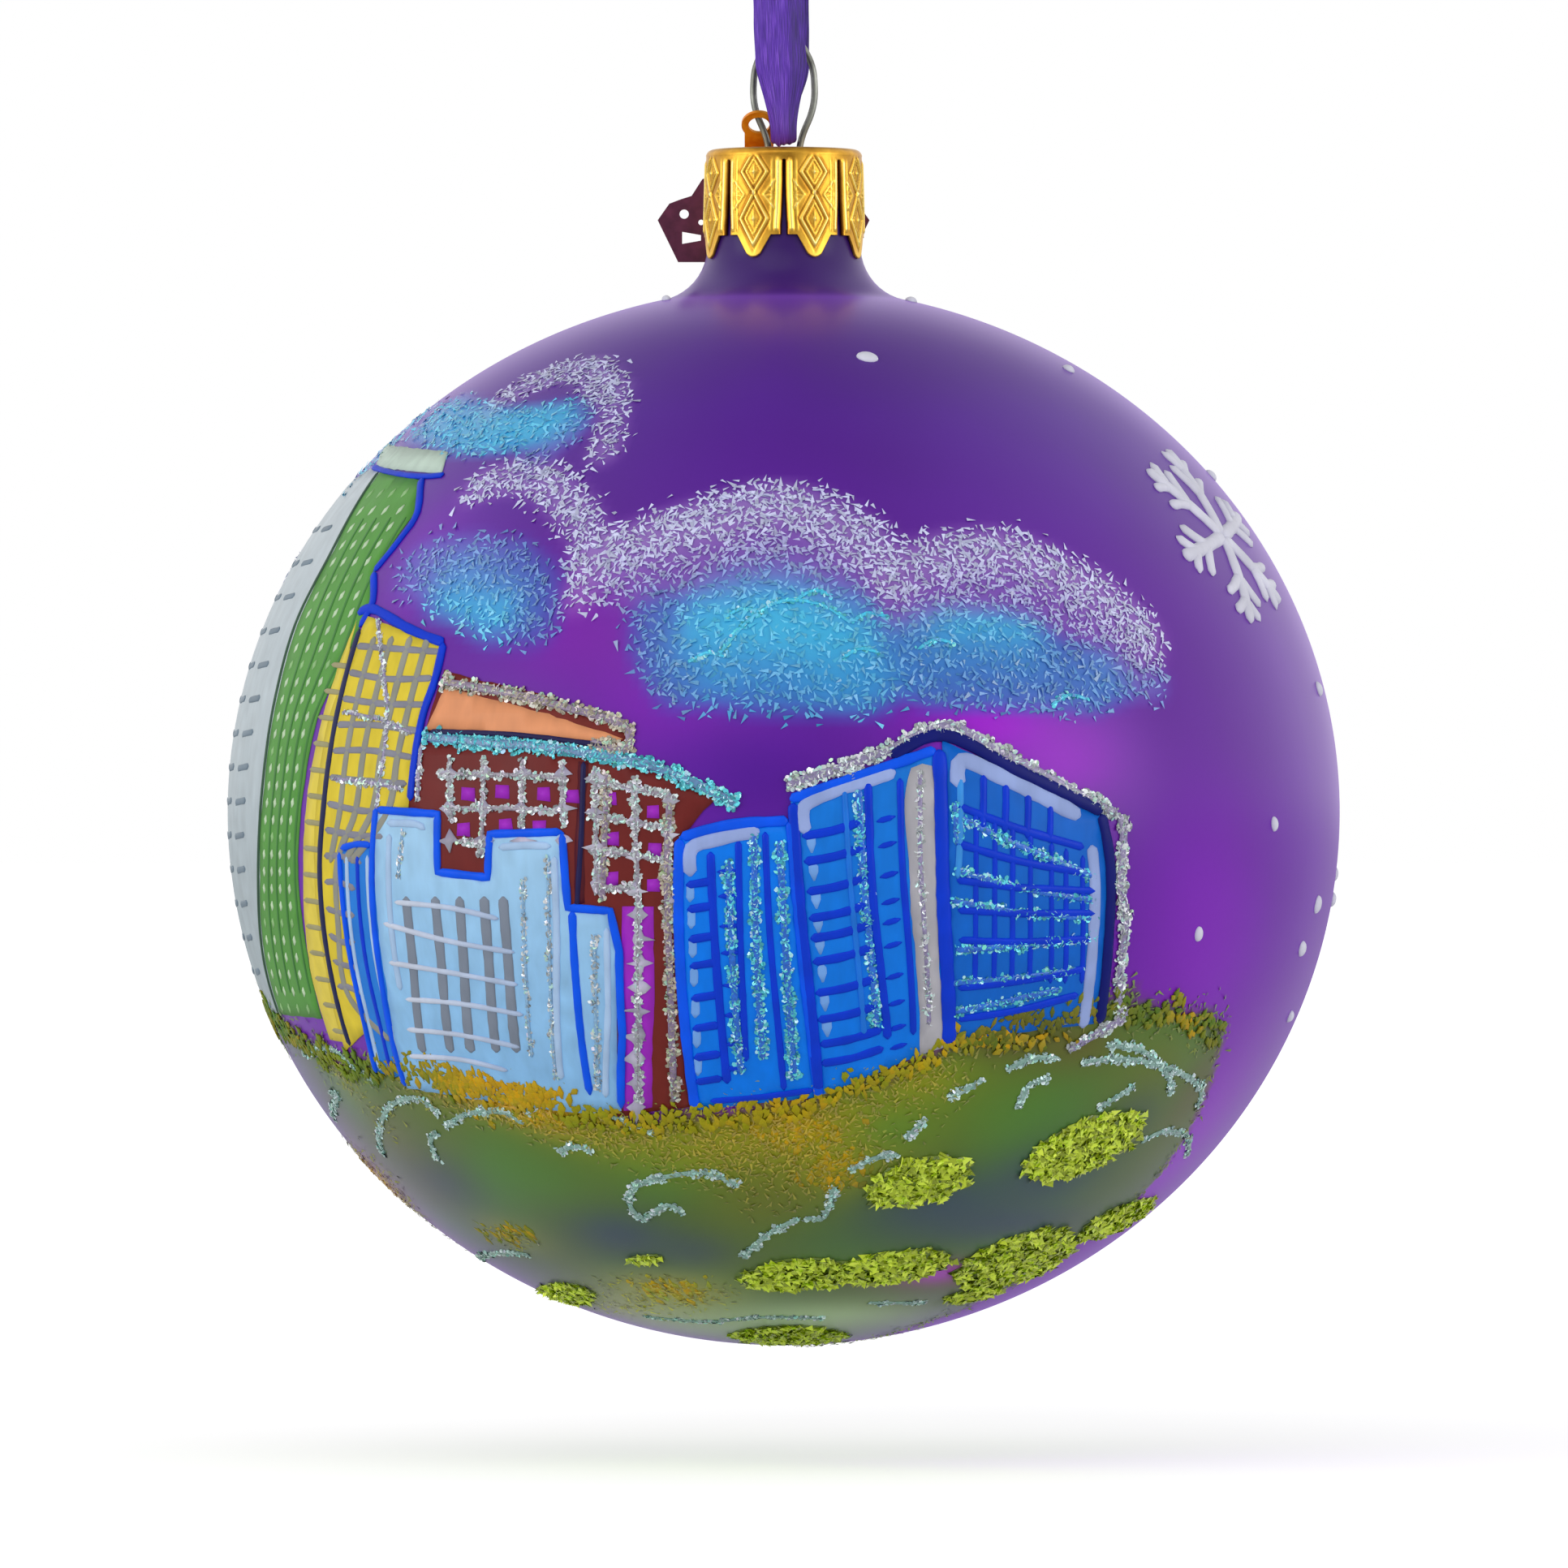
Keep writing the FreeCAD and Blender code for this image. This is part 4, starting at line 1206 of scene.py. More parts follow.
def enamel_finish():
    """Brushed enamel: each stroke's colour with bristle streaks, a low bump and a soft gloss."""
    shade = Shade(bpy.data.materials.new("brushed_enamel"))
    spot = shade.node("TexCoord", out=3)
    long_way = shade.node("Mapping", Vector=spot, Scale=(1500, 1500, 260))
    bristle = shade.node("TexNoise", Vector=long_way, Scale=1.0, Detail=3.0)
    pool = shade.node("TexNoise", Vector=spot, Scale=420.0, Detail=2.0)
    bump = shade.node("Bump", Strength=0.35, Distance=0.00005, Height=bristle + 0.8 * pool)
    return shade.surface(
        Base_Color=shade.coat(0.86 + 0.16 * bristle + 0.1 * pool),
        Roughness=0.34 + 0.25 * pool,
        Specular_IOR_Level=0.14,
        Coat_Weight=0.05,
        Coat_Roughness=0.25,
        Normal=bump,
    )


enamel = enamel_finish()
OUTLINE, BRIGHT_BLUE, BLOCK_BLUE = (0, 58, 214), (0, 90, 248), (0, 126, 246)
NAVY, CELL = (6, 18, 112), (120, 172, 240)
INK, PALE_BLUE = (34, 30, 78), (176, 206, 240)
LAVENDER, STONE, STEEL = (158, 178, 232), (184, 182, 188), (140, 140, 152)
TOWER_GREEN, MINT, BUTTER = (92, 158, 70), (200, 220, 206), (230, 206, 58)
BRICK, MAROON, PEACH, PLUM = (120, 40, 34), (88, 26, 38), (236, 158, 112), (168, 44, 200)
FROST = (200, 200, 210)

towers = Enamel()

# The tall green tower wraps over the left side, with a pale flank and a bare board on its roof.
tower_left = front(
    (-36.3, 30.6), (-40.4, 23.6), (-43.7, 17), (-45.5, 10.5), (-46.7, 2.3), (-47.1, -5.9),
    (-46.5, -14.1), (-45.3, -18.2),
)
tower_right = front(
    (-32.6, 29.8), (-33.2, 26.9), (-36.9, 21.6), (-37.1, 18.7), (-39.1, 14.6), (-42, 8.4),
    (-43.45, 0.2), (-43.7, -5.9), (-43, -12.1), (-41.6, -18.6),
)
flank = [(-96, 26), (-97, 12), (-98, 0), (-97, -10), (-95, -19.5)]
flank_roof = [(-90, 28.4), (-84, 29.6), (-76, 30.6)]
towers.field(tower_left + flank[::-1] + flank_roof, (176, 190, 196), 0.06, second=(206, 216, 222))
towers.field(tower_right + tower_left[::-1], TOWER_GREEN, 0.08)
towers.field(front((-30.2, 32.4), (-30.8, 30.4), (-36.6, 31.0), (-36.0, 33.4)), MINT, 0.12)
towers.line(front((-30.6, 30.3), (-33.4, 30.2), (-36.9, 31.0)), 0.6, OUTLINE, 0.1)
towers.line(front((-32.6, 30.0), (-33.0, 26.9), (-34.8, 24.2), (-36.9, 21.6)), 0.8, OUTLINE, 0.1)
towers.line(front((-36.9, 21.6), (-37.0, 18.9), (-38.2, 16.6)), 0.8, OUTLINE, 0.1)
towers.line([(t - 0.6, h) for t, h in tower_left], 0.5, (60, 90, 70), 0.08)
towers.line(flank, 0.7, (80, 100, 120), 0.08)


TOWER_ROWS, TOWER_FLOOR = 31, 1.52
YELLOW_FLOOR = 2.3
SLAT_LIGHT, SLAT_DARK = (200, 224, 188), (150, 196, 132)


def along(stops, height):
    """The turn of an edge at a height, from the places that it runs through."""
    rising = sorted(stops, key=lambda spot: spot[1])
    return between_turns([(h, t) for t, h in rising], height)


for row in range(TOWER_ROWS):
    height = 28.2 - TOWER_FLOOR * row
    left, right = along(tower_left, height), along(tower_right, height)
    for share in (0.12, 0.34, 0.56, 0.78):
        turn = left + (right - left) * share
        reach = (right - left) * 0.13
        towers.line(
            [(turn, height - 0.42), (turn + reach * 0.3, height + 0.42)],
            0.62,
            SLAT_LIGHT if row % 5 else SLAT_DARK,
            0.1,
            0.05,
            taper=0.25,
        )
    if row % 2 == 0 and -18 < height < 26:
        flank_left = along(flank, height)
        for share in (0.15, 0.4, 0.65):
            turn = flank_left + (left - flank_left) * share
            towers.line(
                [(turn, height), (turn + (left - flank_left) * 0.16, height + 0.2)],
                0.6,
                (120, 138, 152),
                0.08,
                0.06,
            )

for share in (0.28, 0.5, 0.72, 0.93):
    route = []
    for height in (26, 20, 14, 8, 2, -4, -10, -16):
        left, right = along(tower_left, height), along(tower_right, height)
        route.append((left + (right - left) * share, height))
    towers.line(route, 0.4, (66, 128, 58), 0.1, 0.03)

# The yellow block stands in front of the tower, with a narrow strip of itself on the left.
yellow = front(
    (-37.4, 17.6), (-30.7, 15), (-31.2, 12), (-32.7, 8), (-33.8, 0), (-36.2, -2.4), (-39.0, -4),
    (-39.3, -12), (-37.2, -19.5), (-39.4, -21.5), (-41.2, -14), (-42.2, -5), (-42, 1), (-41, 8),
    (-39.3, 13),
)
strip = front(
    (-38.4, 17.2), (-41.2, 9.5), (-42.9, 1), (-43.2, -6), (-42.6, -14), (-40.8, -20.5),
    (-38.9, -20.8), (-40.8, -13), (-41.6, -5), (-41.2, 1), (-40.1, 8),
)
strip_middle = front((-39, 16), (-41.2, 8), (-42.1, 1), (-42.5, -5), (-41.7, -14), (-39.8, -20))
yellow_left = front((-38, 16), (-39.9, 9), (-41, 1), (-41.3, -5), (-40.4, -14), (-38.7, -21))
yellow_right = front((-31, 14), (-33.2, 6), (-34.4, 0), (-38.4, -4.5), (-38.6, -12), (-37.4, -19))
towers.field(strip, (236, 214, 84), 0.1)
for k in range(15):
    height = 13 - YELLOW_FLOOR * k
    middle = along(strip_middle, height)
    towers.line(
        [(middle - 1.6, height), (middle + 1.6, height - 0.2)], 0.5, (166, 160, 120), 0.13, 0.05
    )
towers.field(yellow, BUTTER, 0.13)
for k in range(14):
    height = 14.6 - YELLOW_FLOOR * k
    left, right = along(yellow_left, height), along(yellow_right, height)
    sag = 0.35 * math.sin(5 * k)
    towers.line(
        [(left, height), ((left + right) / 2, height - 0.3 + sag), (right, height - 0.6)],
        0.62,
        STEEL,
        0.15,
        0.06,
    )
for share in (0.2, 0.42, 0.64, 0.84):
    route = []
    for height in (15.4, 10, 5, 0, -4.4, -10, -16, -20):
        left, right = along(yellow_left, height), along(yellow_right, height)
        route.append((left + (right - left) * share, height))
    towers.line(route[: 8 if share == 0.42 else 5], 0.8, (152, 152, 140), 0.15, 0.06)
towers.line(front((-38.3, 17.9), (-36.8, 18.2), (-33.6, 16.4), (-30.6, 15.2)), 0.9, OUTLINE, 0.14)
towers.line(front((-30.6, 15.2), (-31.4, 11.8), (-32.6, 8.2), (-33.6, 1)), 0.8, OUTLINE, 0.14)
towers.line(
    front((-38.1, 16.4), (-40.1, 9), (-41.3, 1), (-41.7, -5), (-40.8, -14), (-39, -21)),
    0.75,
    (38, 42, 84),
    0.14,
)

# The brick building has a peach roof, a plum side strip and rows of frosted windows.
towers.field(
    front((-30.5, 12.7), (-21.5, 10.5), (-13.9, 7.6), (-13.9, 5.1), (-32.4, 6.8)), BRICK, 0.1
)
towers.field(front((-30.4, 11.2), (-22, 9), (-14.4, 6.6), (-16.2, 6.1), (-32.2, 7.4)), PEACH, 0.13)
towers.line(front((-31.8, 7.2), (-24, 6.9), (-15.6, 5.9)), 0.5, INK, 0.14)
brick = front(
    (-32.8, 6.3), (-25, 5.9), (-18.2, 5.2), (-12, 3.6), (-6, 1.4), (-9, -2), (-9.2, -14),
    (-8.3, -26.5), (-15, -27.4), (-31, -8), (-33.8, 0.8),
)
towers.field(brick, BRICK, 0.1, second=(112, 36, 34))
towers.field(front((-18.4, 4.6), (-17.6, 4.4), (-17.9, -8.2), (-18.8, -8.4)), MAROON, 0.12)
towers.line(front((-18, 4.5), (-18.2, -2), (-18.6, -8.6)), 0.5, INK, 0.13)
towers.field(
    front((-14.5, -8.5), (-11.8, -8.5), (-11.6, -17), (-11.8, -26.6), (-14.4, -26.8), (-14.7, -16)),
    PLUM,
    0.12,
)
for x, z in (
    (-28.4, 1.6), (-25.3, 1.8), (-21.6, 1.6), (-28.8, -1.6), (-25.0, -1.2), (-22, -1.4),
    (-15.6, 1.2), (-15.4, -2.4), (-15.5, -6), (-11.8, 0), (-11.6, -3.4), (-11.7, -6.6), (-19, 1.4),
):
    towers.field(
        front((x - 0.6, z - 0.55), (x + 0.6, z - 0.65), (x + 0.55, z + 0.6), (x - 0.55, z + 0.55)),
        PLUM,
        0.14,
    )
dabs = []
for x in (-30.0, -27.0, -23.5, -19.9):
    for z in (3.4, 0.3, -2.6 if x > -24.5 or x < -26 else 0.3):
        dabs.append((x, z, 1.9, 1.5))
for x in (-16.9, -13.4):
    for k in range(4):
        dabs.append((x, 3.0 - 3.1 * k - (x + 16.9) * 0.25, 1.8, 1.5))
for k in range(9):
    dabs.append((-13.1 + 0.2 * math.sin(7 * k), -9.3 - 2.15 * k, 2.1, 1.8))
for k in range(4):
    dabs.append((-10.2, 1.0 - 3.0 * k, 1.5, 1.3))
for x, z, wide, tall in dabs:
    shape = []
    for step in range(8):
        angle = math.pi * step / 4
        reach = 1.05 if step % 2 == 0 else 0.55
        reach *= 1 + 0.75 * noise.noise(Vector((x * 1.7, z * 1.7, step * 0.9)))
        shape.append(
            (x + wide / 2 * reach * math.cos(angle), z + tall / 2 * reach * math.sin(angle))
        )
    towers.field(front(*shape), FROST, 0.24, second=(168, 160, 190), streak=0.3)

# The light blue block has a stepped roof, grey window bars and a striped wing on the left.
wing = front(
    (-39.8, -3.3), (-37, -3), (-36.6, -8), (-35.3, -17), (-34, -24), (-36.5, -23.4), (-38.8, -13)
)
towers.field(wing, (40, 130, 226), 0.15)
for shift in (0.35, 1.3, 2.2):
    towers.line(
        front(
            (-39.6 + shift, -3.9), (-38.9 + shift, -13), (-37.6 + shift, -19),
            (-36.6 + shift, -23.2),
        ),
        0.5,
        OUTLINE if shift == 1.3 else PALE_BLUE,
        0.17,
        0.08,
    )
light = front(
    (-36.6, 0.2), (-31.1, -0.2), (-31.1, -5.4), (-26.6, -5.9), (-26.4, -2), (-19.9, -1.8),
    (-19.4, -8.6), (-15.6, -8.9), (-14.8, -12.5), (-14.6, -26.8), (-19, -27), (-26, -26),
    (-33.8, -24.8), (-35.6, -16), (-36.7, -6),
)
towers.field(light, (140, 196, 244), 0.18, second=(172, 216, 248))
roof_steps = [(-36.6, 0.2), (-31.1, -0.2), (-31.1, -5.4), (-26.6, -5.9), (-26.4, -2)]
right_steps = [(-19.9, -1.8), (-19.4, -8.6), (-15.6, -8.9), (-14.8, -12.5), (-14.5, -20)]
for route, wide, tint in (
    (roof_steps + [(-19.9, -1.8)], 0.75, BRIGHT_BLUE),
    (right_steps + [(-14.6, -26.6)], 0.75, BRIGHT_BLUE),
    ([(-36.6, 0.4), (-37, -6), (-36, -16), (-34, -24.6)], 0.7, BRIGHT_BLUE),
    ([(-19, -8.8), (-18.6, -16), (-17.4, -25.4)], 0.75, BRIGHT_BLUE),
    ([(-39.8, -3.3), (-38.3, -2.9), (-37, -3)], 0.6, BRIGHT_BLUE),
    ([(-39.9, -3.6), (-39.4, -10), (-37.9, -18), (-36.6, -23.4)], 0.6, BRIGHT_BLUE),
    ([(-35.6, -1), (-33, -1.1), (-32.2, -1.6)], 0.7, PALE_BLUE),
    ([(-25.6, -3.2), (-23, -3), (-20.9, -3.1)], 0.7, PALE_BLUE),
    ([(-35.4, -2), (-35.4, -8), (-34.4, -16)], 0.7, PALE_BLUE),
    ([(-20.6, -4), (-20.4, -12), (-20, -24)], 0.7, PALE_BLUE),
    ([(-15.9, -10.4), (-15.8, -18), (-16, -25.6)], 0.6, PALE_BLUE),
):
    towers.line(front(*route), wide, tint, 0.2, 0.14, curved=wide < 0.73)
BAR_GREY = (132, 142, 158)
for top, foot in ((-33.9, -32.4), (-31.3, -29.9), (-29.1, -28.1), (-26.9, -25.8), (-25.2, -24.0)):
    towers.line(
        front((top, -7.6), ((top + foot) / 2 - 0.1, -14), (foot, -21.6)), 1.05, BAR_GREY, 0.2, 0.06
    )
for route in (
    [(-35.9, -10), (-30, -11.6), (-24.2, -12.6)],
    [(-35.4, -13.5), (-30, -14.4), (-23.9, -15.5)],
    [(-33.9, -16.8), (-29, -17.2), (-23.4, -18.2)],
    [(-33.8, -19.5), (-29, -20), (-23.7, -21.1)],
    [(-33.6, -21.9), (-29, -22.2), (-24.8, -23.2)],
    [(-34.9, -8.1), (-30, -8.6), (-25.6, -9.6)],
):
    towers.line(front(*route), 0.5, (214, 220, 236), 0.24, 0.16, second=(178, 196, 226), taper=1.4)

# Round the back stands a plain street: gabled houses and flat blocks with rows of windows.
for turn, wide, low, high, tint, gabled in (
    (-107, 13, -21, -4, (178, 84, 62), True),
    (-119, 12, -20, 2, (96, 150, 214), False),
    (-131, 13, -21, -6, (226, 190, 96), True),
    (-143, 12, -22, 5, (150, 120, 196), False),
    (-156, 15, -21, -7, (206, 120, 96), True),
    (-170, 12, -21, -1, (104, 176, 150), False),
    (176, 13, -22, -8, (236, 206, 130), True),
    (162, 12, -23, 3, (72, 128, 208), False),
    (149, 13, -22, -7, (190, 92, 74), True),
    (136, 12, -21, -2, (132, 188, 226), False),
    (124, 10, -23, -10, (224, 176, 90), True),
):
    left, right = turn - wide / 2, turn + wide / 2
    dark = mix(tint, (40, 30, 90), 0.55)
    gable = [(turn, high + 5.5)] if gabled else []
    walls = [(left, low), (right, low), (right, high), *gable, (left, high)]
    towers.field(walls, tint, 0.1, mix(tint, (240, 236, 250), 0.3))
    towers.line([(left, low), (left, high)], 0.7, dark, 0.13)
    towers.line([(right, low), (right, high)], 0.7, dark, 0.13)
    eaves = [(left - 0.8, high - 0.3), *gable, (right + 0.8, high - 0.3)]
    towers.line(eaves, 0.9, dark, 0.14, curved=False)
    rows = int((high - low - 3) / 4)
    for row in range(rows):
        for share in (0.22, 0.5, 0.78):
            x, z = left + wide * share, high - 2.6 - 4 * row
            towers.line([(x, z - 0.8), (x, z + 0.8)], 1.1, FROST, 0.13, 0.06)
            towers.line([(x - 1.2, z - 1), (x + 1.2, z - 1)], 0.35, dark, 0.15)

# The left blue block has dark uprights and short window dashes.
blocks = Enamel()
LEFT_LEAN, MIDDLE_LEAN = -0.045, -0.085  # how far the uprights lean for each mm down
blocks.field(
    front((-9.4, -2.2), (0.4, -0.7), (1.4, -10), (3, -25.6), (-7.9, -26.8), (-9.3, -14)),
    BLOCK_BLUE,
    0.14,
)
for z in (-7.2, -9.6, -12.2, -14.8, -17.6, -20.3, -22.8):
    lean = (z + 6.3) * LEFT_LEAN
    cell = front((-8.5 + lean, z - 0.9), (-8.45 + lean, z), (-8.5 + lean, z + 0.9))
    blocks.line(cell, 0.75, CELL, 0.15, 0.03, taper=0.15)
blocks.strokes(
    0.17,
    0.13,
    ([(-9.4, -2.4), (-9.5, -8), (-9.2, -16), (-8.0, -26.6)], 0.95, BRIGHT_BLUE),
    ([(-9.3, -2.3), (-5, -1.2), (0.4, -0.8)], 0.95, BRIGHT_BLUE),
    ([(0.6, -0.8), (1.2, -8), (2, -16), (3.1, -25.6)], 0.95, BRIGHT_BLUE),
    ([(-8.4, -5.8), (-8.3, -3.3), (-5.6, -2.4), (-2.2, -1.7)], 1.25, LAVENDER),
    ([(-6.6, -3.6), (-6.2, -12), (-5.1, -24.4)], 0.75, OUTLINE),
    ([(-4.1, -2.6), (-3.9, -12), (-3.4, -22.4)], 0.6, OUTLINE),
    ([(-1.7, -1.8), (-1.2, -12), (0, -25)], 0.6, OUTLINE),
    ([(-6.6, -26), (-2, -25.6), (2.6, -25)], 0.6, OUTLINE),
)
for z in (-6.3, -8.5, -11.2, -13.6, -16.5, -19.2, -21.8, -24):
    lean = (z + 6.3) * LEFT_LEAN
    blocks.line(front((-8.8 + lean, z - 0.3), (-6.3 + lean, z + 0.1)), 0.75, OUTLINE, 0.19, 0.1)
    blocks.line(front((-6 + lean, z + 0.9), (-4.2 + lean, z + 1.0)), 0.5, OUTLINE, 0.19, 0.08)

# The middle block has a grey stair shaft down its right edge.
blocks.field(
    front(
        *[(0.6, 1), (7, 3.2), (13.9, 5.6), (14.7, -8)],
        *[(14.8, -20.8), (9, -23.2), (3.2, -25.5), (1.6, -10)],
    ),
    BLOCK_BLUE,
    0.17,
    second=(20, 122, 220),
)
blocks.field(
    front(
        (10.9, 2.2), (11.4, 3.9), (12.4, 4.3), (13.3, 4.1), (13.7, 1), (13.9, -14), (14.6, -21),
        (12.2, -21.8), (11.4, -9), (10.8, 0),
    ),
    STONE,
    0.2,
)
for z in (-2.9, -5.4, -7.9, -10.1, -12.0, -14.5, -17.1, -19.4):
    lean = (z + 1.7) * MIDDLE_LEAN
    cell = front((2.4 + lean, z - 0.8), (2.35 + lean, z), (2.3 + lean, z + 0.9))
    blocks.line(cell, 0.85, CELL, 0.18, 0.03, taper=0.15)
blocks.strokes(
    0.21,
    0.13,
    ([(0.5, 1.1), (7, 3.3), (13.6, 5.6)], 0.95, BRIGHT_BLUE),
    ([(0.8, 0.8), (1.6, -10), (3.1, -25)], 0.95, OUTLINE),
    ([(1.9, -2.0), (1.8, 0.4), (4, 1.7), (7.4, 2.8), (10, 3.6)], 1.3, LAVENDER),
    ([(7.5, 2.8), (8, -8), (9.3, -20.4)], 0.75, OUTLINE),
    ([(10.4, 3), (10.7, -6), (11.6, -20)], 0.6, OUTLINE),
    ([(5.4, 2), (6.1, -8), (7.2, -20)], 0.5, (30, 120, 226)),
    ([(13.9, 5.6), (14.3, -8), (14.8, -20.8)], 1.3, OUTLINE),
)
for z in (-1.7, -4, -6.7, -9.1, -10.9, -13, -15.8, -18.2, -20.4, -22.1):
    lean = (z + 1.7) * MIDDLE_LEAN
    blocks.line(
        front((1.6 + lean, z - 0.5), (4.4 + lean, z), (7.2 + lean, z + 0.9)), 0.8, OUTLINE, 0.2, 0.1
    )
    dash = front((8.3 + lean * 0.7, z + 0.8), (10 + lean * 0.6, z + 1.3))
    blocks.line(dash, 0.5, OUTLINE, 0.2, 0.08)

# The right block is turned away, with a dense grid of dark strokes.
blocks.field(
    front(
        *[(14.2, 6.4), (21, 3.2), (28.3, -0.3), (29, -5)],
        *[(28.8, -12), (27.9, -19), (14.8, -20.5), (14.4, -8)],
    ),
    (10, 104, 208),
    0.17,
)
blocks.strokes(
    0.2,
    0.13,
    ([(9.6, 5.0), (14.3, 6.9), (21, 3.7), (28.6, 0)], 1.15, NAVY),
    ([(28.5, -0.2), (29.3, -5), (29.1, -12), (28.3, -19)], 1.1, NAVY),
    ([(15.6, 2.2), (16, 4.6), (20, 2.9), (26.6, -0.4)], 1.45, LAVENDER),
    ([(27.6, -3), (27.9, -6.4), (27.7, -12), (26.8, -19.4)], 1.15, LAVENDER),
    ([(15.8, 3.2), (15.8, -2), (15.6, -6)], 0.6, (60, 150, 232)),
    ([(17.9, 3.4), (17.9, 1), (17.8, -1.6)], 0.65, OUTLINE),
    ([(19.9, 2.6), (19.9, 0.4), (19.8, -1.9)], 0.65, OUTLINE),
    ([(21.9, 1.8), (21.9, -0.2), (21.8, -2.4)], 0.65, OUTLINE),
    ([(23.9, 0.8), (23.9, -1), (23.8, -2.8)], 0.6, OUTLINE),
    ([(15.4, 0.6), (21, -1.5), (26.9, -3.2)], 0.75, OUTLINE),
    ([(15.4, -2.8), (21, -4.4), (26.7, -5.4)], 0.75, OUTLINE),
    ([(15.5, -6.1), (21, -6.8), (28.1, -7.1)], 0.7, OUTLINE),
    ([(15.6, -8.8), (21, -9.1), (28.1, -9.1)], 0.7, OUTLINE),
    ([(15.7, -11.5), (21, -11.7), (27.6, -11.4)], 0.7, OUTLINE),
    ([(15.6, -15.8), (21, -15.2), (26.9, -14.1)], 0.7, OUTLINE),
    ([(15.6, -18.6), (21, -17.8), (26.4, -16.4)], 0.7, OUTLINE),
)
for x in (17.2, 18.9, 20.5, 22.1, 24, 25.3, 26.8):
    top = 0.2 - (x - 17) * 0.42
    blocks.line(front((x, top), (x, -8), (x - 0.1, -15.4)), 0.5, OUTLINE, 0.19, 0.09)

towers.finish("enamel_towers", enamel)
blocks.finish("enamel_blocks", enamel)


# ----------------------------------------
# Glitter: lines of clear gel squeezed from a fine tip, then dusted with cut foil: silver on the
# roofs and windows, sea green in the scrolls, and broad leaf-green patches on the hill.

SEA, SILVER, GOLDEN, LEAF = (84, 214, 230), (204, 212, 214), (186, 176, 154), (206, 228, 46)


def gel_finish():
    """Dried gel under the foil: cloudy, glossy and tinted by the foil it holds."""
    shade = Shade(bpy.data.materials.new("clear_gel"))
    spot = shade.node("TexCoord", out=3)
    lumps = shade.node("TexVoronoi", Vector=spot, Scale=3400.0)
    return shade.surface(
        Base_Color=shade.coat(0.72 + 0.5 * lumps),
        Roughness=0.3,
        Specular_IOR_Level=0.5,
        Coat_Weight=0.4,
        Coat_Roughness=0.15,
        Normal=shade.node("Bump", Strength=0.6, Distance=0.0001, Height=lumps),
    )


def foil_finish(name, foil_glint_share):
    """Cut foil: most flakes in the line's colour, and a few with painted glints of green, rose or
    white.
    """
    shade = Shade(bpy.data.materials.new(name))
    spark = shade.node("Attribute", {"attribute_name": "spark"}, out=2)
    # Painted glints: flash colours put on a few flakes in place of the light they would catch.
    flash = shade.ramp(
        spark.maths("FRACT", spark * 7.0),
        (0.0, (60, 160, 140)),
        (0.30, (120, 240, 215)),
        (0.55, (255, 255, 255)),
        (0.80, (226, 190, 236)),
        (1.0, (150, 240, 140)),
    )
    tint = shade.blend(foil_glint_share * spark.within(0.62, 0.66), shade.coat(0.45 + 1.1 * spark), flash)
    return shade.surface(
        Base_Color=tint,
        Metallic=0.3,
        Roughness=0.2 + 0.2 * spark,
        Coat_Weight=0.4,
        Coat_Roughness=0.12,
    )


gel = gel_finish()
GEL_UNDER_LEAF = (104, 128, 26)
SCROLL, SCROLL_GEL = (200, 232, 228), (136, 176, 164)
foil, leaf_foil = foil_finish("cut_foil", 0.5), foil_finish("leaf_foil", 0.06)
foil_tree = fleck_tree("foil_dusted_on_gel", 6)


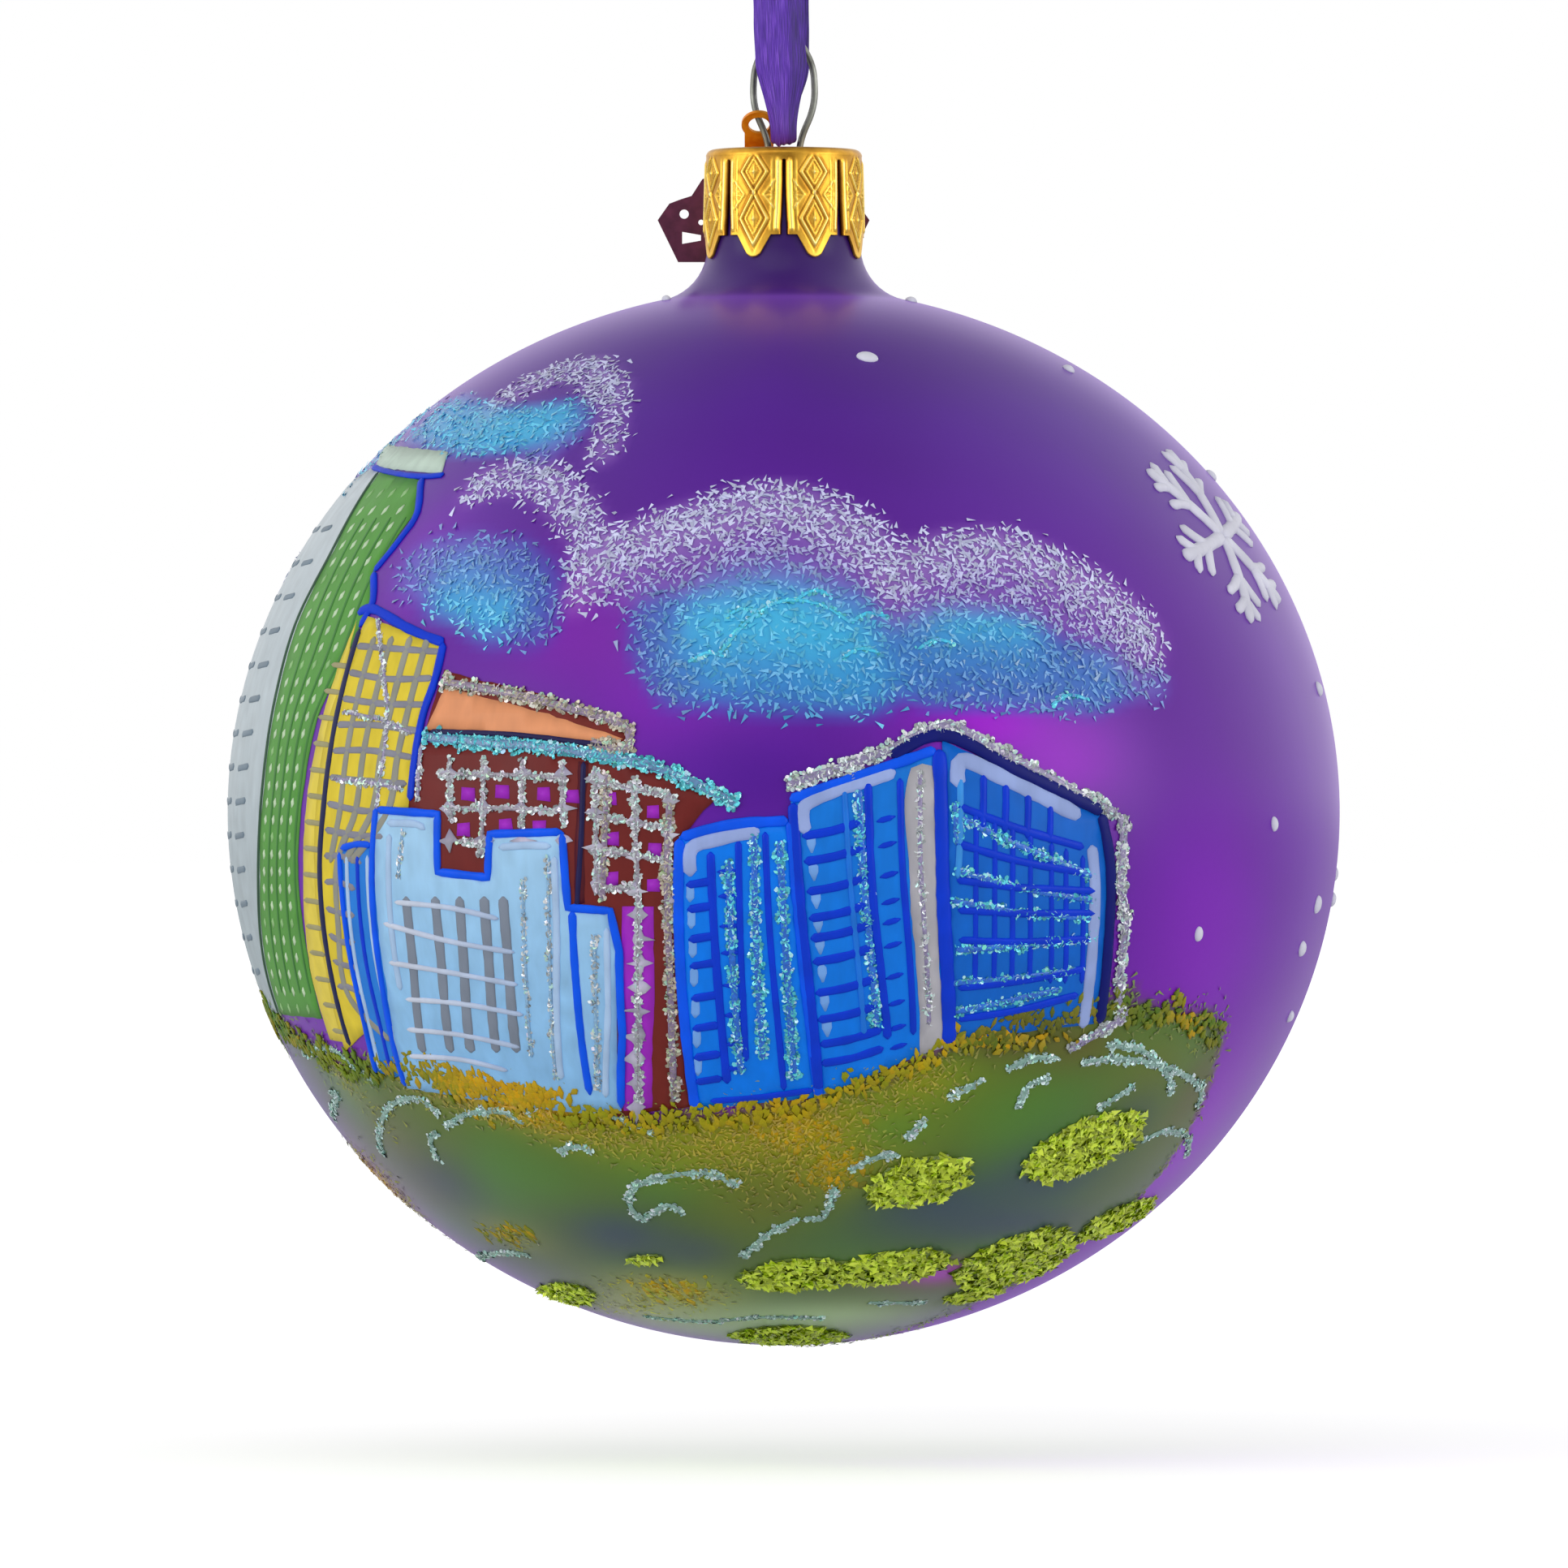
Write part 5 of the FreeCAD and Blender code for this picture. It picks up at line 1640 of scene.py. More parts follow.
class Glitter:
    """Gel lines and patches, with the open strips that foil is dusted on."""

    def __init__(self):
        self.gel = Enamel()
        self.verts, self.faces, self.tints, self.thick = [], [], [], []

    def line(self, route, wide, tint, under, lift=0.2, high=0.16, thick=1.0, beads=0.0):
        """One squeezed line, which swells and thins as the hand moves. Under is the gel's tint."""
        self.gel.line(route, wide * 0.6, under, lift, high * 0.3)
        spots = smooth_route(route, 0.45)
        rails = [on_ball(turn, height, lift + high * 0.4) for turn, height in spots]
        start = len(self.verts)
        for place, out, across in with_across(rails):
            ragged = noise.noise(Vector((place.x * 1700, place.y * 1700, place.z * 1700)))
            half = wide / 2 * (1.0 + (0.45 + beads) * ragged)
            shift = 0.3 * noise.noise(Vector((place.z * 1100, place.x * 1100, 1.0)))
            for side, rise in ((-1, -0.6), (0, 0.0), (1, -0.6)):
                self.verts.append(
                    place + across * (side * half + shift) * MM + out * rise * high * MM
                )
                self.tints.append(srgb(*tint))
                self.thick.append(thick * (0.75 + 0.6 * ragged))
        for k in range(len(rails) - 1):
            for j in (0, 1):
                a = start + 3 * k + j
                self.faces.append((a + 3, a + 4, a + 1, a))

    def patch(self, x, z, wide, tall, lean, tint):
        """A broad patch, pressed on with a sponge, so its edge is torn."""
        middle_turn, middle_height = seen(x, z)
        outline, steps = [], 34
        angle = math.radians(lean)
        for k in range(steps):
            t = 2 * math.pi * k / steps
            torn = 1 + 0.22 * noise.noise(Vector((k * 1.7, x, z))) + 0.1 * (k % 2)
            across, up = wide / 2 * torn * math.cos(t), tall / 2 * torn * math.sin(t)
            outline.append(
                seen(
                    x + across * math.cos(angle) - up * math.sin(angle),
                    z + across * math.sin(angle) + up * math.cos(angle),
                )
            )
        self.gel.field(outline, GEL_UNDER_LEAF, 0.12)
        start = len(self.verts)
        self.verts.append(on_ball(middle_turn, middle_height, 0.2)[0])
        self.tints.append(srgb(*tint))
        self.thick.append(1.0)
        for turn, height in outline:
            half_way = ((turn + middle_turn) / 2, (height + middle_height) / 2)
            self.verts += [on_ball(*half_way, 0.2)[0], on_ball(turn, height, 0.14)[0]]
            self.tints += [srgb(*tint)] * 2
            self.thick += [1.0, 0.9]
        for k in range(steps):
            a, b = start + 1 + 2 * k, start + 1 + 2 * ((k + 1) % steps)
            self.faces += [(start, a, b), (a, a + 1, b + 1, b)]

    def finish(self, name, density, radius, seed, tree=None, finish=None):
        """Makes the gel one piece and the foil dusted on it another."""
        self.gel.finish(name + "_gel", gel)
        carrier = new_piece(name + "_strips", self.verts, self.faces, foil)
        keep_colours(carrier, self.tints)
        keep_numbers(carrier, self.thick)
        flakes = scatter(
            name + "_foil", carrier, tree or foil_tree, finish or foil, density=density,
            radius=radius, narrowness=0.8, tilt=0.55, standoff=0.07 * MM, seed=seed,
        )
        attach(flakes, "ball")


roofs = Glitter()
for route, wide, tint in (
    ([(0.2, 2.4), (4.9, 3.9), (9.4, 5.6), (13, 7.3), (15.4, 7.85)], 1.25, SILVER),
    ([(15.4, 7.85), (18.3, 6), (22.8, 3.65), (26.5, 1.55), (30, -0.26)], 1.25, SILVER),
    ([(30, -0.3), (30.5, -1.5), (30.2, -6.6), (30.7, -9.4), (30.2, -13.6)], 1.2, SILVER),
    ([(30.2, -13.6), (30.1, -17.5), (30.7, -18.3), (29, -19.4), (25.6, -21.4)], 1.1, SILVER),
    ([(6.05, 4.8), (6.2, 2.8)], 0.9, SILVER),
    ([(12.2, 3.8), (12.3, -6), (13, -19.1)], 0.7, SILVER),
    ([(-30.7, 11.7), (-24, 10.5), (-17.4, 8.8), (-14.1, 7.8)], 1.2, GOLDEN),
    ([(-14.1, 7.8), (-13.9, 6.7), (-14.3, 5.5), (-17.4, 6.3)], 1.1, GOLDEN),
    ([(-32.4, 6.8), (-27, 6.2), (-21.5, 5.8), (-13.3, 4.5), (-9.2, 3.1), (-4.2, 0.7)], 1.3, SEA),
    ([(-10.3, 0.8), (-10.5, -6), (-10.2, -16), (-9.8, -26)], 1.0, GOLDEN),
    ([(-15.9, 3.6), (-16.1, -2), (-16.3, -8)], 0.9, GOLDEN),
    ([(-32.6, 6.0), (-32.9, 1)], 0.6, SILVER),
    ([(-36.4, 17.4), (-35.6, 9), (-36.6, 0)], 0.55, SILVER),
    ([(-39.6, 9), (-36, 8.2), (-33.4, 7)], 0.55, SILVER),
    ([(-40.6, 3), (-37, 2.6), (-34.2, 2)], 0.55, SILVER),
):
    roofs.line(front(*route), wide, tint, mix(tint, (96, 70, 140), 0.55), beads=0.45)
for route in (
    [(-31.0, 3.4), (-25, 3.3), (-19.4, 3.0)],
    [(-30.6, 0.3), (-25, 0.3), (-19.6, 0.1)],
    [(-29.4, -2.6), (-27, -2.7), (-26.2, -2.8)],
    [(-17.6, 2.8), (-13, 2.0), (-9.6, 1.2)],
    [(-17.6, -0.3), (-13, -1.0), (-10, -1.6)],
    [(-17.4, -3.4), (-13, -4.0), (-10, -4.4)],
    [(-17.2, -6.6), (-13.4, -7.0)],
    [(-30.0, 5.0), (-30.0, 1.5), (-29.8, -1)],
    [(-27.0, 5.0), (-27.0, 1), (-27.2, -4)],
    [(-23.5, 4.8), (-23.5, 1), (-23.6, -1.5)],
    [(-19.9, 4.6), (-19.9, 1), (-19.8, -1.5)],
    [(-16.9, 4.0), (-16.9, -2), (-16.7, -7.4)],
    [(-13.4, 3.2), (-13.3, -3), (-13.1, -8), (-13.1, -18), (-13, -26)],
):
    roofs.line(front(*route), 0.62, SILVER, (150, 140, 156), beads=0.5)
roofs.finish("roof_glitter", density=27e6, radius=0.25 * MM, seed=21)

windows = Glitter()
for route, wide in (
    ([(-5, -4.3), (-4.6, -14), (-3.9, -23.5)], 0.95),
    ([(-2.7, -2), (-2.5, -12), (-1.9, -22.2)], 0.95),
    ([(-0.4, -2.6), (0.1, -12), (0.9, -24)], 1.0),
    ([(6.7, 2.1), (7.2, -6.6), (8.3, -19.3)], 1.0),
    ([(15.3, -0.3), (21, -3), (28, -5.9)], 0.95),
    ([(15.3, -5.2), (21, -6.8), (28.1, -8)], 0.9),
    ([(15, -8), (21, -9), (28.1, -9.6)], 0.85),
    ([(15.4, -12.4), (21, -12), (28, -11.3)], 0.95),
    ([(15, -15.4), (21, -14.9), (26.9, -14.1)], 0.9),
    ([(15.3, -18), (20, -17), (24.8, -15.9)], 0.9),
    ([(15.4, 0.9), (15.5, -3)], 0.9),
    ([(-23.4, -6), (-23.2, -14), (-22.6, -22)], 0.5),
    ([(-21.1, -4), (-21, -14), (-20.4, -24)], 0.5),
    ([(-17, -11), (-16.9, -18), (-16.6, -25)], 0.6),
    ([(-34.2, -1.6), (-34.6, -6)], 0.5),
):
    pale = wide < 0.65
    under = (140, 184, 220) if pale else (8, 104, 214)
    windows.line(front(*route), wide, SILVER if pale else SEA, under, lift=0.24, beads=0.35)
for x, z in ((-8.6, 13.4), (-5.4, 17.4), (1, 19), (6, 17), (5.2, 13.8), (12, 14.6), (24, 9.6)):
    windows.line(
        front((x, z), (x + 1.6, z + 0.9), (x + 3.4, z + 0.5)), 0.5, SEA, AZURE, 0.08, 0.05, 0.6
    )
windows.line(
    front((-6, 14), (-3, 17.4), (0, 19), (3.4, 18.6), (6, 17)), 0.5, SEA, AZURE, 0.08, 0.05, 0.6
)
windows.finish("window_glitter", density=22e6, radius=0.23 * MM, seed=22)

scrolls = Glitter()
for route in (
    [(-36.1, -30.9), (-36.4, -28.7), (-35.3, -26.4), (-33, -25.8), (-31, -27.2)],
    [(-30.5, -28.4), (-28.5, -27.2), (-25.7, -27), (-23.4, -28.1)],
    [(-31, -31.5), (-31.8, -29.8), (-31.3, -28.7)],
    [(-23.4, -27), (-20, -25.8), (-16.7, -27), (-11.6, -28.9)],
    [(-20.3, -30.6), (-18.8, -30.1), (-17.2, -30.6)],
    [(-9, -36.3), (-10.5, -35.4), (-12.7, -36.6), (-14, -35.1), (-13.3, -33.7), (-11, -32.9)],
    [(-11, -32.9), (-7.1, -32.5), (-4, -33.7)],
    [(-3.7, -40.2), (-1.4, -38), (1.4, -36.6)],
    [(1.9, -36.5), (3.6, -36.5), (4.5, -33.7)],
    [(5.9, -32.3), (8.1, -31.2), (10.4, -30.9)],
    [(11, -29.5), (12.7, -27.5)],
    [(14.9, -25.8), (18, -24.1)],
    [(20, -23.3), (22.2, -22.2), (24.8, -22.2)],
    [(21.1, -26.7), (22, -24.7), (23.9, -23.9)],
    [(28.2, -26.7), (31.6, -24.7)],
    [(29, -21), (32.4, -21.6), (34.7, -24.1), (34.7, -25.6)],
    [(26.8, -22.5), (31.3, -22.3), (35.8, -23.6), (37.5, -25), (37.2, -26.7)],
    [(32.1, -29.8), (34.1, -28.8), (36.3, -29.2), (36.3, -30.9)],
    [(-27.4, -40.2), (-25.2, -39.7), (-22.9, -39.9)],
    [(-12.7, -45.4), (-7, -45.9), (-2, -45.5), (3.6, -45.6)],
    [(7.6, -44.2), (12.7, -44.2)],
    [(-40.9, -25.3), (-40.1, -25.6), (-40.6, -27.5)],
    [(-43.2, -21.9), (-40.9, -21.3), (-38.7, -23), (-36.7, -24.4)],
):
    scrolls.line(front(*route), 0.8, SCROLL, SCROLL_GEL, 0.08, 0.1, 0.9, beads=0.6)
for middle in (-168, -146, -122, -104, 132, 152, 172):
    low = between_turns(HILL_TOP, middle) - 5
    for shift, size, way in ((0, 1.0, 1), (9, 0.75, -1)):
        route = []
        for k in range(7):
            t = k / 6 * math.pi * 1.35
            reach = size * (3.4 - 1.6 * k / 6)
            around = ARC * girth(low - shift * 0.6) / ACROSS
            route.append(
                (
                    middle + shift + way * reach * math.cos(t) / around,
                    low - shift * 0.6 + reach * math.sin(t) * 0.8,
                )
            )
        scrolls.line(route, 0.8, SCROLL, SCROLL_GEL, 0.08, 0.1, 0.9, beads=0.6)
scrolls.finish("scroll_glitter", density=28e6, radius=0.22 * MM, seed=23)

meadow = Glitter()
for x, z, wide, tall, lean in (
    (12.1, -33.3, 9.6, 3.9, 15),
    (27, -30.1, 11.2, 4.2, 24),
    (1.2, -41.6, 9.5, 2.6, 4),
    (10, -40.9, 9.5, 2.7, 8),
    (20.8, -40.2, 11.4, 3.9, 20),
    (29.9, -36.6, 7.2, 1.8, 26),
    (0.4, -47, 9.5, 1.5, 0),
    (-19.4, -43.3, 5, 1.7, -8),
    (-12.4, -40.3, 3, 0.9, 4),
    (17, -43.4, 5, 1, 12),
):
    meadow.patch(x, z, wide, tall, lean, LEAF)
meadow.finish("meadow_glitter", 10e6, 0.56 * MM, 24, sliver_tree, leaf_foil)


# ----------------------------------------
# Snow: drops and strokes of thick white enamel. A plain six-armed snow star fills the place of a
# motto high on the right, and loose flakes are dotted all round.

snow = Enamel()
MILK = (226, 226, 240)
star_turn, star_height = seen(39.4, 24.8)


def beside(across, up):
    """A place near the snow star, in mm across and up over the glass."""
    around = math.pi * girth(star_height) / 180
    steep = math.sqrt(1 - (star_height / RISE) ** 2) * 0.98
    return star_turn + across / around, star_height + up * (0.25 + 0.75 * steep)


STAR_TURNED = 14
for arm in range(6):
    angle = math.radians(60 * arm + STAR_TURNED)

    def out_along(far, side=0.0):
        """A place out along this arm and to its side."""
        return beside(
            far * math.cos(angle) - side * math.sin(angle),
            far * math.sin(angle) + side * math.cos(angle),
        )

    snow.line([out_along(0.2), out_along(4.6), out_along(9.2)], 1.35, MILK, 0.05, 0.4)
    for far, reach in ((4.2, 2.6), (6.6, 1.9)):
        for side in (-1, 1):
            snow.line(
                [out_along(far), out_along(far + reach * 0.55, side * reach * 0.5)]
                + [out_along(far + reach * 0.95, side * reach)],
                1.05,
                MILK,
                0.05,
                0.34,
            )
for x, z, wide, tall in (
    (7.5, 40.9, 2.0, 0.9), (44.1, -1.1, 0.9, 1.5), (37.3, -11, 1.0, 1.3), (45.5, -18.4, 0.9, 1.4),
    (25.6, 39.8, 1.5, 0.8), (-10.6, 46.1, 1.3, 0.7), (11.5, 46.2, 1.6, 0.7),
):
    snow.dot(seen(x, z), wide, MILK, tall=tall if tall > 1 else tall / 1.1)
scatterer = random.Random(12)
LOOSE_FLAKES = 46
for k in range(LOOSE_FLAKES):
    turn = 72 + 200 * (k * 0.618 % 1)
    turn = turn - 360 if turn > 180 else turn
    height = -14 + 56 * ((k * 0.414 + 0.07 * scatterer.random()) % 1)
    if -100 < turn < -60 and height < 34:
        continue
    snow.dot((turn, height), 0.9 + 0.9 * scatterer.random(), MILK)
snow.finish("enamel_snow", enamel)


# ----------------------------------------
# Scrub along the hill's crest: short upward dabs of ochre, amber and olive, laid over the feet of
# the buildings with the tip of a flat brush.

STRAW, OCHRE = (206, 170, 44), (178, 146, 34)
scrub_dabs = Enamel()
dabber = random.Random(5)


def dab_scrub(turn, height, warm, size, lift):
    """One dab with the tip of a stiff brush, green to ochre, with amber where warm is high."""
    place = on_ball(turn, height)[0]
    _, tint = hill_at(turn, height - 1.5, place)
    tint = mix(tint, mix(OCHRE, STRAW, dabber.random()), (0.15 + 0.7 * warm) * dabber.random())
    tint = mix(tint, AMBER, max(0, 1.6 * warm - 0.8) * dabber.random() ** 2)
    way = math.radians(90 + 90 * dabber.gauss(0, 0.6))
    reach = size * (0.25 + 0.4 * dabber.random())
    across, up = reach * math.cos(way), reach * math.sin(way)
    bend = 0.25 * (dabber.random() - 0.5)
    scrub_dabs.line(
        [(turn - across, height - up), (turn + bend, height), (turn + across, height + up)],
        0.35 + 0.5 * dabber.random(),
        tint,
        lift,
        0.03,
        taper=1.0,
    )


CREST_DABS, GOLDEN_SHARE = 1900, 0.6180339
for k in range(CREST_DABS):
    turn = -176 + 352 * ((k * GOLDEN_SHARE) % 1)
    edge = between_turns(HILL_TOP, turn)
    if edge > -28 and not 58 < turn < 116:
        warm = softly(0.45 + 1.1 * noise.noise(Vector((turn * 0.09, 2.0, 0.0))))
        rise = 1.3 * noise.noise(Vector((turn * 0.35, 0.0, 7.0))) - 1.5
        if -2 < turn < 14:
            warm = 0.8
        dab_scrub(turn, edge + rise + 2.2 * dabber.random() ** 1.3, warm, 1.0, 0.23)
for x, z, wide, tall, count, lift in (
    (-28.6, -24.6, 2.4, 0.9, 110, 0.25),
    (-23.4, -25.6, 2.6, 0.9, 110, 0.25),
    (-22, -27.6, 4.0, 0.7, 90, 0.05),
    (1.5, -29, 3.2, 1.5, 130, 0.02),
    (4.5, -32.5, 2.2, 1.4, 90, 0.02),
    (20, -20.6, 5.0, 0.8, 60, 0.2),
    (-10, -43, 2.8, 0.7, 60, 0.02),
    (-25, -38, 2.2, 0.7, 50, 0.02),
):
    for k in range(count):
        spot = seen(x + wide * dabber.gauss(0, 0.6), z + tall * dabber.gauss(0, 0.6))
        dab_scrub(*spot, 1.0, 1.0, lift)
scrub_dabs.finish("scrub_dabs", enamel)


# ----------------------------------------
# Crown cap: a cup stamped from thin sheet, gilded. Eight slits part its skirt into pointed petals,
# each embossed with two diamonds between ribs, and their edges are folded in to grip the neck.

cap_low, cap_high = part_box("crown_cap")
CAP_HEIGHT = (cap_high.z - cap_low.z) / MM
CAP_EDGE, CAP_TOP_RADIUS, CAP_TIP_RADIUS = 0.7, 7.05, cap_high.x / MM
CAP_SHEET = 0.25
PETALS, PETAL_COLUMNS = 8, 48
LAST_ROWS, LAST_ROWS_FROM = 20, 7.0  # the rows that follow a petal's pointed end
NOTCH, SLIT_TOP, SLIT_FROM = 7.9, 1.1, 1.15
POINT_HEIGHT, POINT_HALF = 0.3, 0.65
WIRE_HOLE_PLACES, WIRE_HOLE = (-1.3, 1.3), 0.5


def ridge(far, half):
    """A rounded ridge, 1 along its crest and 0 from half away."""
    return softly(1 - abs(far) / half)


def skirt_radius(down):
    """The cap's radius at a distance below its top."""
    return CAP_TOP_RADIUS + (CAP_TIP_RADIUS - CAP_TOP_RADIUS) * down / CAP_HEIGHT


def emboss(across, down, half):
    """How far the sheet is pressed outwards on a petal, in mm."""
    side = abs(across)
    raised = 0.0
    for middle, wide, tall, inner_wide, inner_tall in (
        (2.25, 1.22, 1.85, 0.78, 1.2), (6.45, 1.3, 2.3, 0.84, 1.5)
    ):
        rim = side / wide + abs(down - middle) / tall - 1
        inner = side / inner_wide + abs(down - middle) / inner_tall - 1
        raised += 0.15 * ridge(rim, 0.15) + 0.1 * ridge(inner, 0.15)
        raised -= 0.06 * ridge(abs(rim) - 0.25, 0.1) + 0.05 * ridge(abs(inner) - 0.26, 0.11)
        if inner < 0:
            star = max(0.0, 1 - (math.sqrt(side / 0.5) + math.sqrt(abs(down - middle) / 0.8)))
            raised += 0.24 * star
    wing = abs(side - 1.95) / 1.0 + abs(down - 4.3) / 1.25 - 1
    if side < 2.0:
        raised += 0.11 * ridge(wing, 0.17)
        if wing < 0:
            ray = math.sin(9 * math.atan2(down - 4.3, 2.0 - side))
            raised += 0.06 * max(0.0, ray) * min(1, -3 * wing)
    if 0.95 < down < NOTCH - 0.25:
        fade = min(1.0, (down - 0.95) / 0.4, (NOTCH - 0.25 - down) / 0.3)
        raised += fade * 0.15 * ridge(side - (half - 0.5), 0.26)
        raised += fade * 0.08 * ridge(side - (half - 1.0), 0.14)
    fold = max(0.0, (side - (half - 0.26)) / 0.26)
    return raised - 0.26 * fold * fold


cap_verts, cap_relief, cap_faces, cap_index = [], [], [], {}


def cap_vertex(place, relief):
    """The number of the vertex at a place, so that petals and top share the ones between them."""
    key = tuple(round(part * 2000) for part in place)
    if key not in cap_index:
        cap_index[key] = len(cap_verts)
        cap_verts.append(Vector(place))
        cap_relief.append(relief)
    return cap_index[key]


downs = [CAP_EDGE * k / 7 for k in range(8)]
downs += [CAP_EDGE + (LAST_ROWS_FROM - CAP_EDGE) * k / 62 for k in range(1, 63)]
PETAL_HALF = 180 / PETALS
for petal in range(PETALS):
    middle_turn = 2 * PETAL_HALF * petal + PETAL_HALF - 180
    grid = []
    for row in range(len(downs) + LAST_ROWS):
        line = []
        for column in range(PETAL_COLUMNS + 1):
            share = 2 * column / PETAL_COLUMNS - 1
            down = downs[row] if row < len(downs) else LAST_ROWS_FROM
            radius = skirt_radius(down)
            half = radius * math.radians(PETAL_HALF)
            if down > SLIT_FROM:
                open_share = min(1.0, (down - SLIT_TOP) / (NOTCH - SLIT_TOP))
                half -= 0.03 + 0.27 * open_share**2.5
            across = share * half
            if row >= len(downs):
                t = (row - len(downs) + 1) / LAST_ROWS
                side = abs(across)
                if side > half - 1.0:
                    lowest = NOTCH
                elif side > POINT_HALF:
                    slant = (half - 1.0 - side) / (half - 1.0 - POINT_HALF)
                    lowest = NOTCH + (CAP_HEIGHT - POINT_HEIGHT - NOTCH) * slant
                else:
                    lowest = CAP_HEIGHT - POINT_HEIGHT * (side / POINT_HALF) ** 2
                down = LAST_ROWS_FROM + (lowest - LAST_ROWS_FROM) * t
                radius = skirt_radius(down)
            if down < CAP_EDGE:
                bend = math.radians(90 * down / CAP_EDGE)
                reach = CAP_TOP_RADIUS - CAP_EDGE + CAP_EDGE * math.sin(bend)
                drop = CAP_EDGE * (1 - math.cos(bend))
                pressed = 0.0
            else:
                drop = down
                border = min(1.0, (down - CAP_EDGE) / 0.3)
                clear = down > SLIT_FROM or abs(across) < half - 0.35
                pressed = emboss(across, down, half) * border if clear else 0.0
                reach = radius + pressed - 0.06
            angle = math.radians(middle_turn) + across / radius
            place = (reach * math.sin(angle), -reach * math.cos(angle), -drop)
            line.append(cap_vertex(place, pressed))
        grid.append(line)
    for above, below in zip(grid, grid[1:]):
        for k in range(PETAL_COLUMNS):
            corners = (above[k], below[k], below[k + 1], above[k + 1])
            if len(set(corners)) == 4:
                cap_faces.append(corners)

rim_ids = [k for k, place in enumerate(cap_verts) if abs(place.z) < 1e-6]
rim_ids.sort(key=lambda k: math.atan2(cap_verts[k].y, cap_verts[k].x))
spots = [Vector((cap_verts[k].x, cap_verts[k].y)) for k in rim_ids]
loops = [list(range(len(spots)))]
hole_steps = 20
for x in WIRE_HOLE_PLACES:
    loops.append(list(range(len(spots), len(spots) + hole_steps)))
    for step in range(hole_steps):
        angle = 2 * math.pi * step / hole_steps
        spots.append(Vector((x + WIRE_HOLE * math.cos(angle), WIRE_HOLE * math.sin(angle))))


def from_hole(spot):
    """How far a spot on the cap's top is from the middle of the nearer wire hole."""
    return min((spot - Vector((x, 0))).length for x in WIRE_HOLE_PLACES)


for i in range(-12, 13):
    for j in range(-12, 13):
        spot = Vector((i * 0.5 + 0.25 * (j % 2), j * 0.5))
        if spot.length < CAP_TOP_RADIUS - CAP_EDGE - 0.25 and from_hole(spot) > WIRE_HOLE + 0.2:
            spots.append(spot)
edges = [(a, b) for loop in loops for a, b in zip(loop, loop[1:] + loop[:1])]
flat, _, triangles, *_ = delaunay_2d_cdt(spots, edges, [], 0, 1e-6, False)
top_ids = []
for spot in flat:
    far = spot.length
    stamped = -0.1 * ridge(far - 5.2, 0.45) if far < 6.2 else 0.0
    top_ids.append(cap_vertex((spot.x, spot.y, stamped), 0.04 + stamped * 0.6))
for triangle in triangles:
    centre = sum((flat[k] for k in triangle), Vector((0, 0))) / 3
    corners = tuple(top_ids[k] for k in triangle)
    if from_hole(centre) >= WIRE_HOLE and len(set(corners)) == 3:
        cap_faces.append(corners)


def gilding():
    """Gilded tin, finely brushed: painted highlight in warm yellow on what stands out and at the
    petals' points, and painted shade in brown in what is pressed in.
    """
    shade = Shade(bpy.data.materials.new("gilded_tin"))
    spot = shade.node("TexCoord", out=3)
    relief = shade.node("Attribute", {"attribute_name": "relief"}, out=2)
    wear = shade.node("TexNoise", Vector=spot, Scale=700.0, Detail=4.0)
    tip_highlight = 1 - shade.node("SeparateXYZ", out=2, Vector=spot).within(
        cap_low.z, cap_low.z + 0.0026
    )
    scratch = shade.node(
        "TexNoise",
        Vector=shade.node("Mapping", Vector=spot, Scale=(3000, 3000, 500)),
        Scale=1.0,
        Detail=2.0,
    )
    # Painted shade and highlight: the stamped relief sets the colour, brown in the hollows and pale
    # yellow on the raised parts, and the lowest points are paler still.
    tint = shade.ramp(
        0.42 + 4.2 * relief + 0.45 * (wear - 0.5) + 0.2 * tip_highlight,
        (0.0, (112, 62, 10)),
        (0.3, (178, 122, 30)),
        (0.5, (226, 172, 58)),
        (0.75, (250, 208, 84)),
        (1.0, (255, 230, 140)),
    )
    return shade.surface(
        Base_Color=tint,
        Metallic=0.82,
        Roughness=0.22 + 0.22 * wear,
        Normal=shade.node("Bump", Strength=0.25, Distance=0.00003, Height=scratch + wear),
    )


cap_place = Vector((0, 0, cap_high.z))
shell = new_piece("cap_shell", [v * MM + cap_place for v in cap_verts], cap_faces, gilding())
keep_numbers(shell, cap_relief, "relief")
face_outwards(shell)
wall = shell.modifiers.new("wall", "SOLIDIFY")
wall.thickness = CAP_SHEET * MM
wall.offset = -1
cap = finished(shell, "stamped_cap")
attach(cap, "cap")
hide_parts("crown_cap")
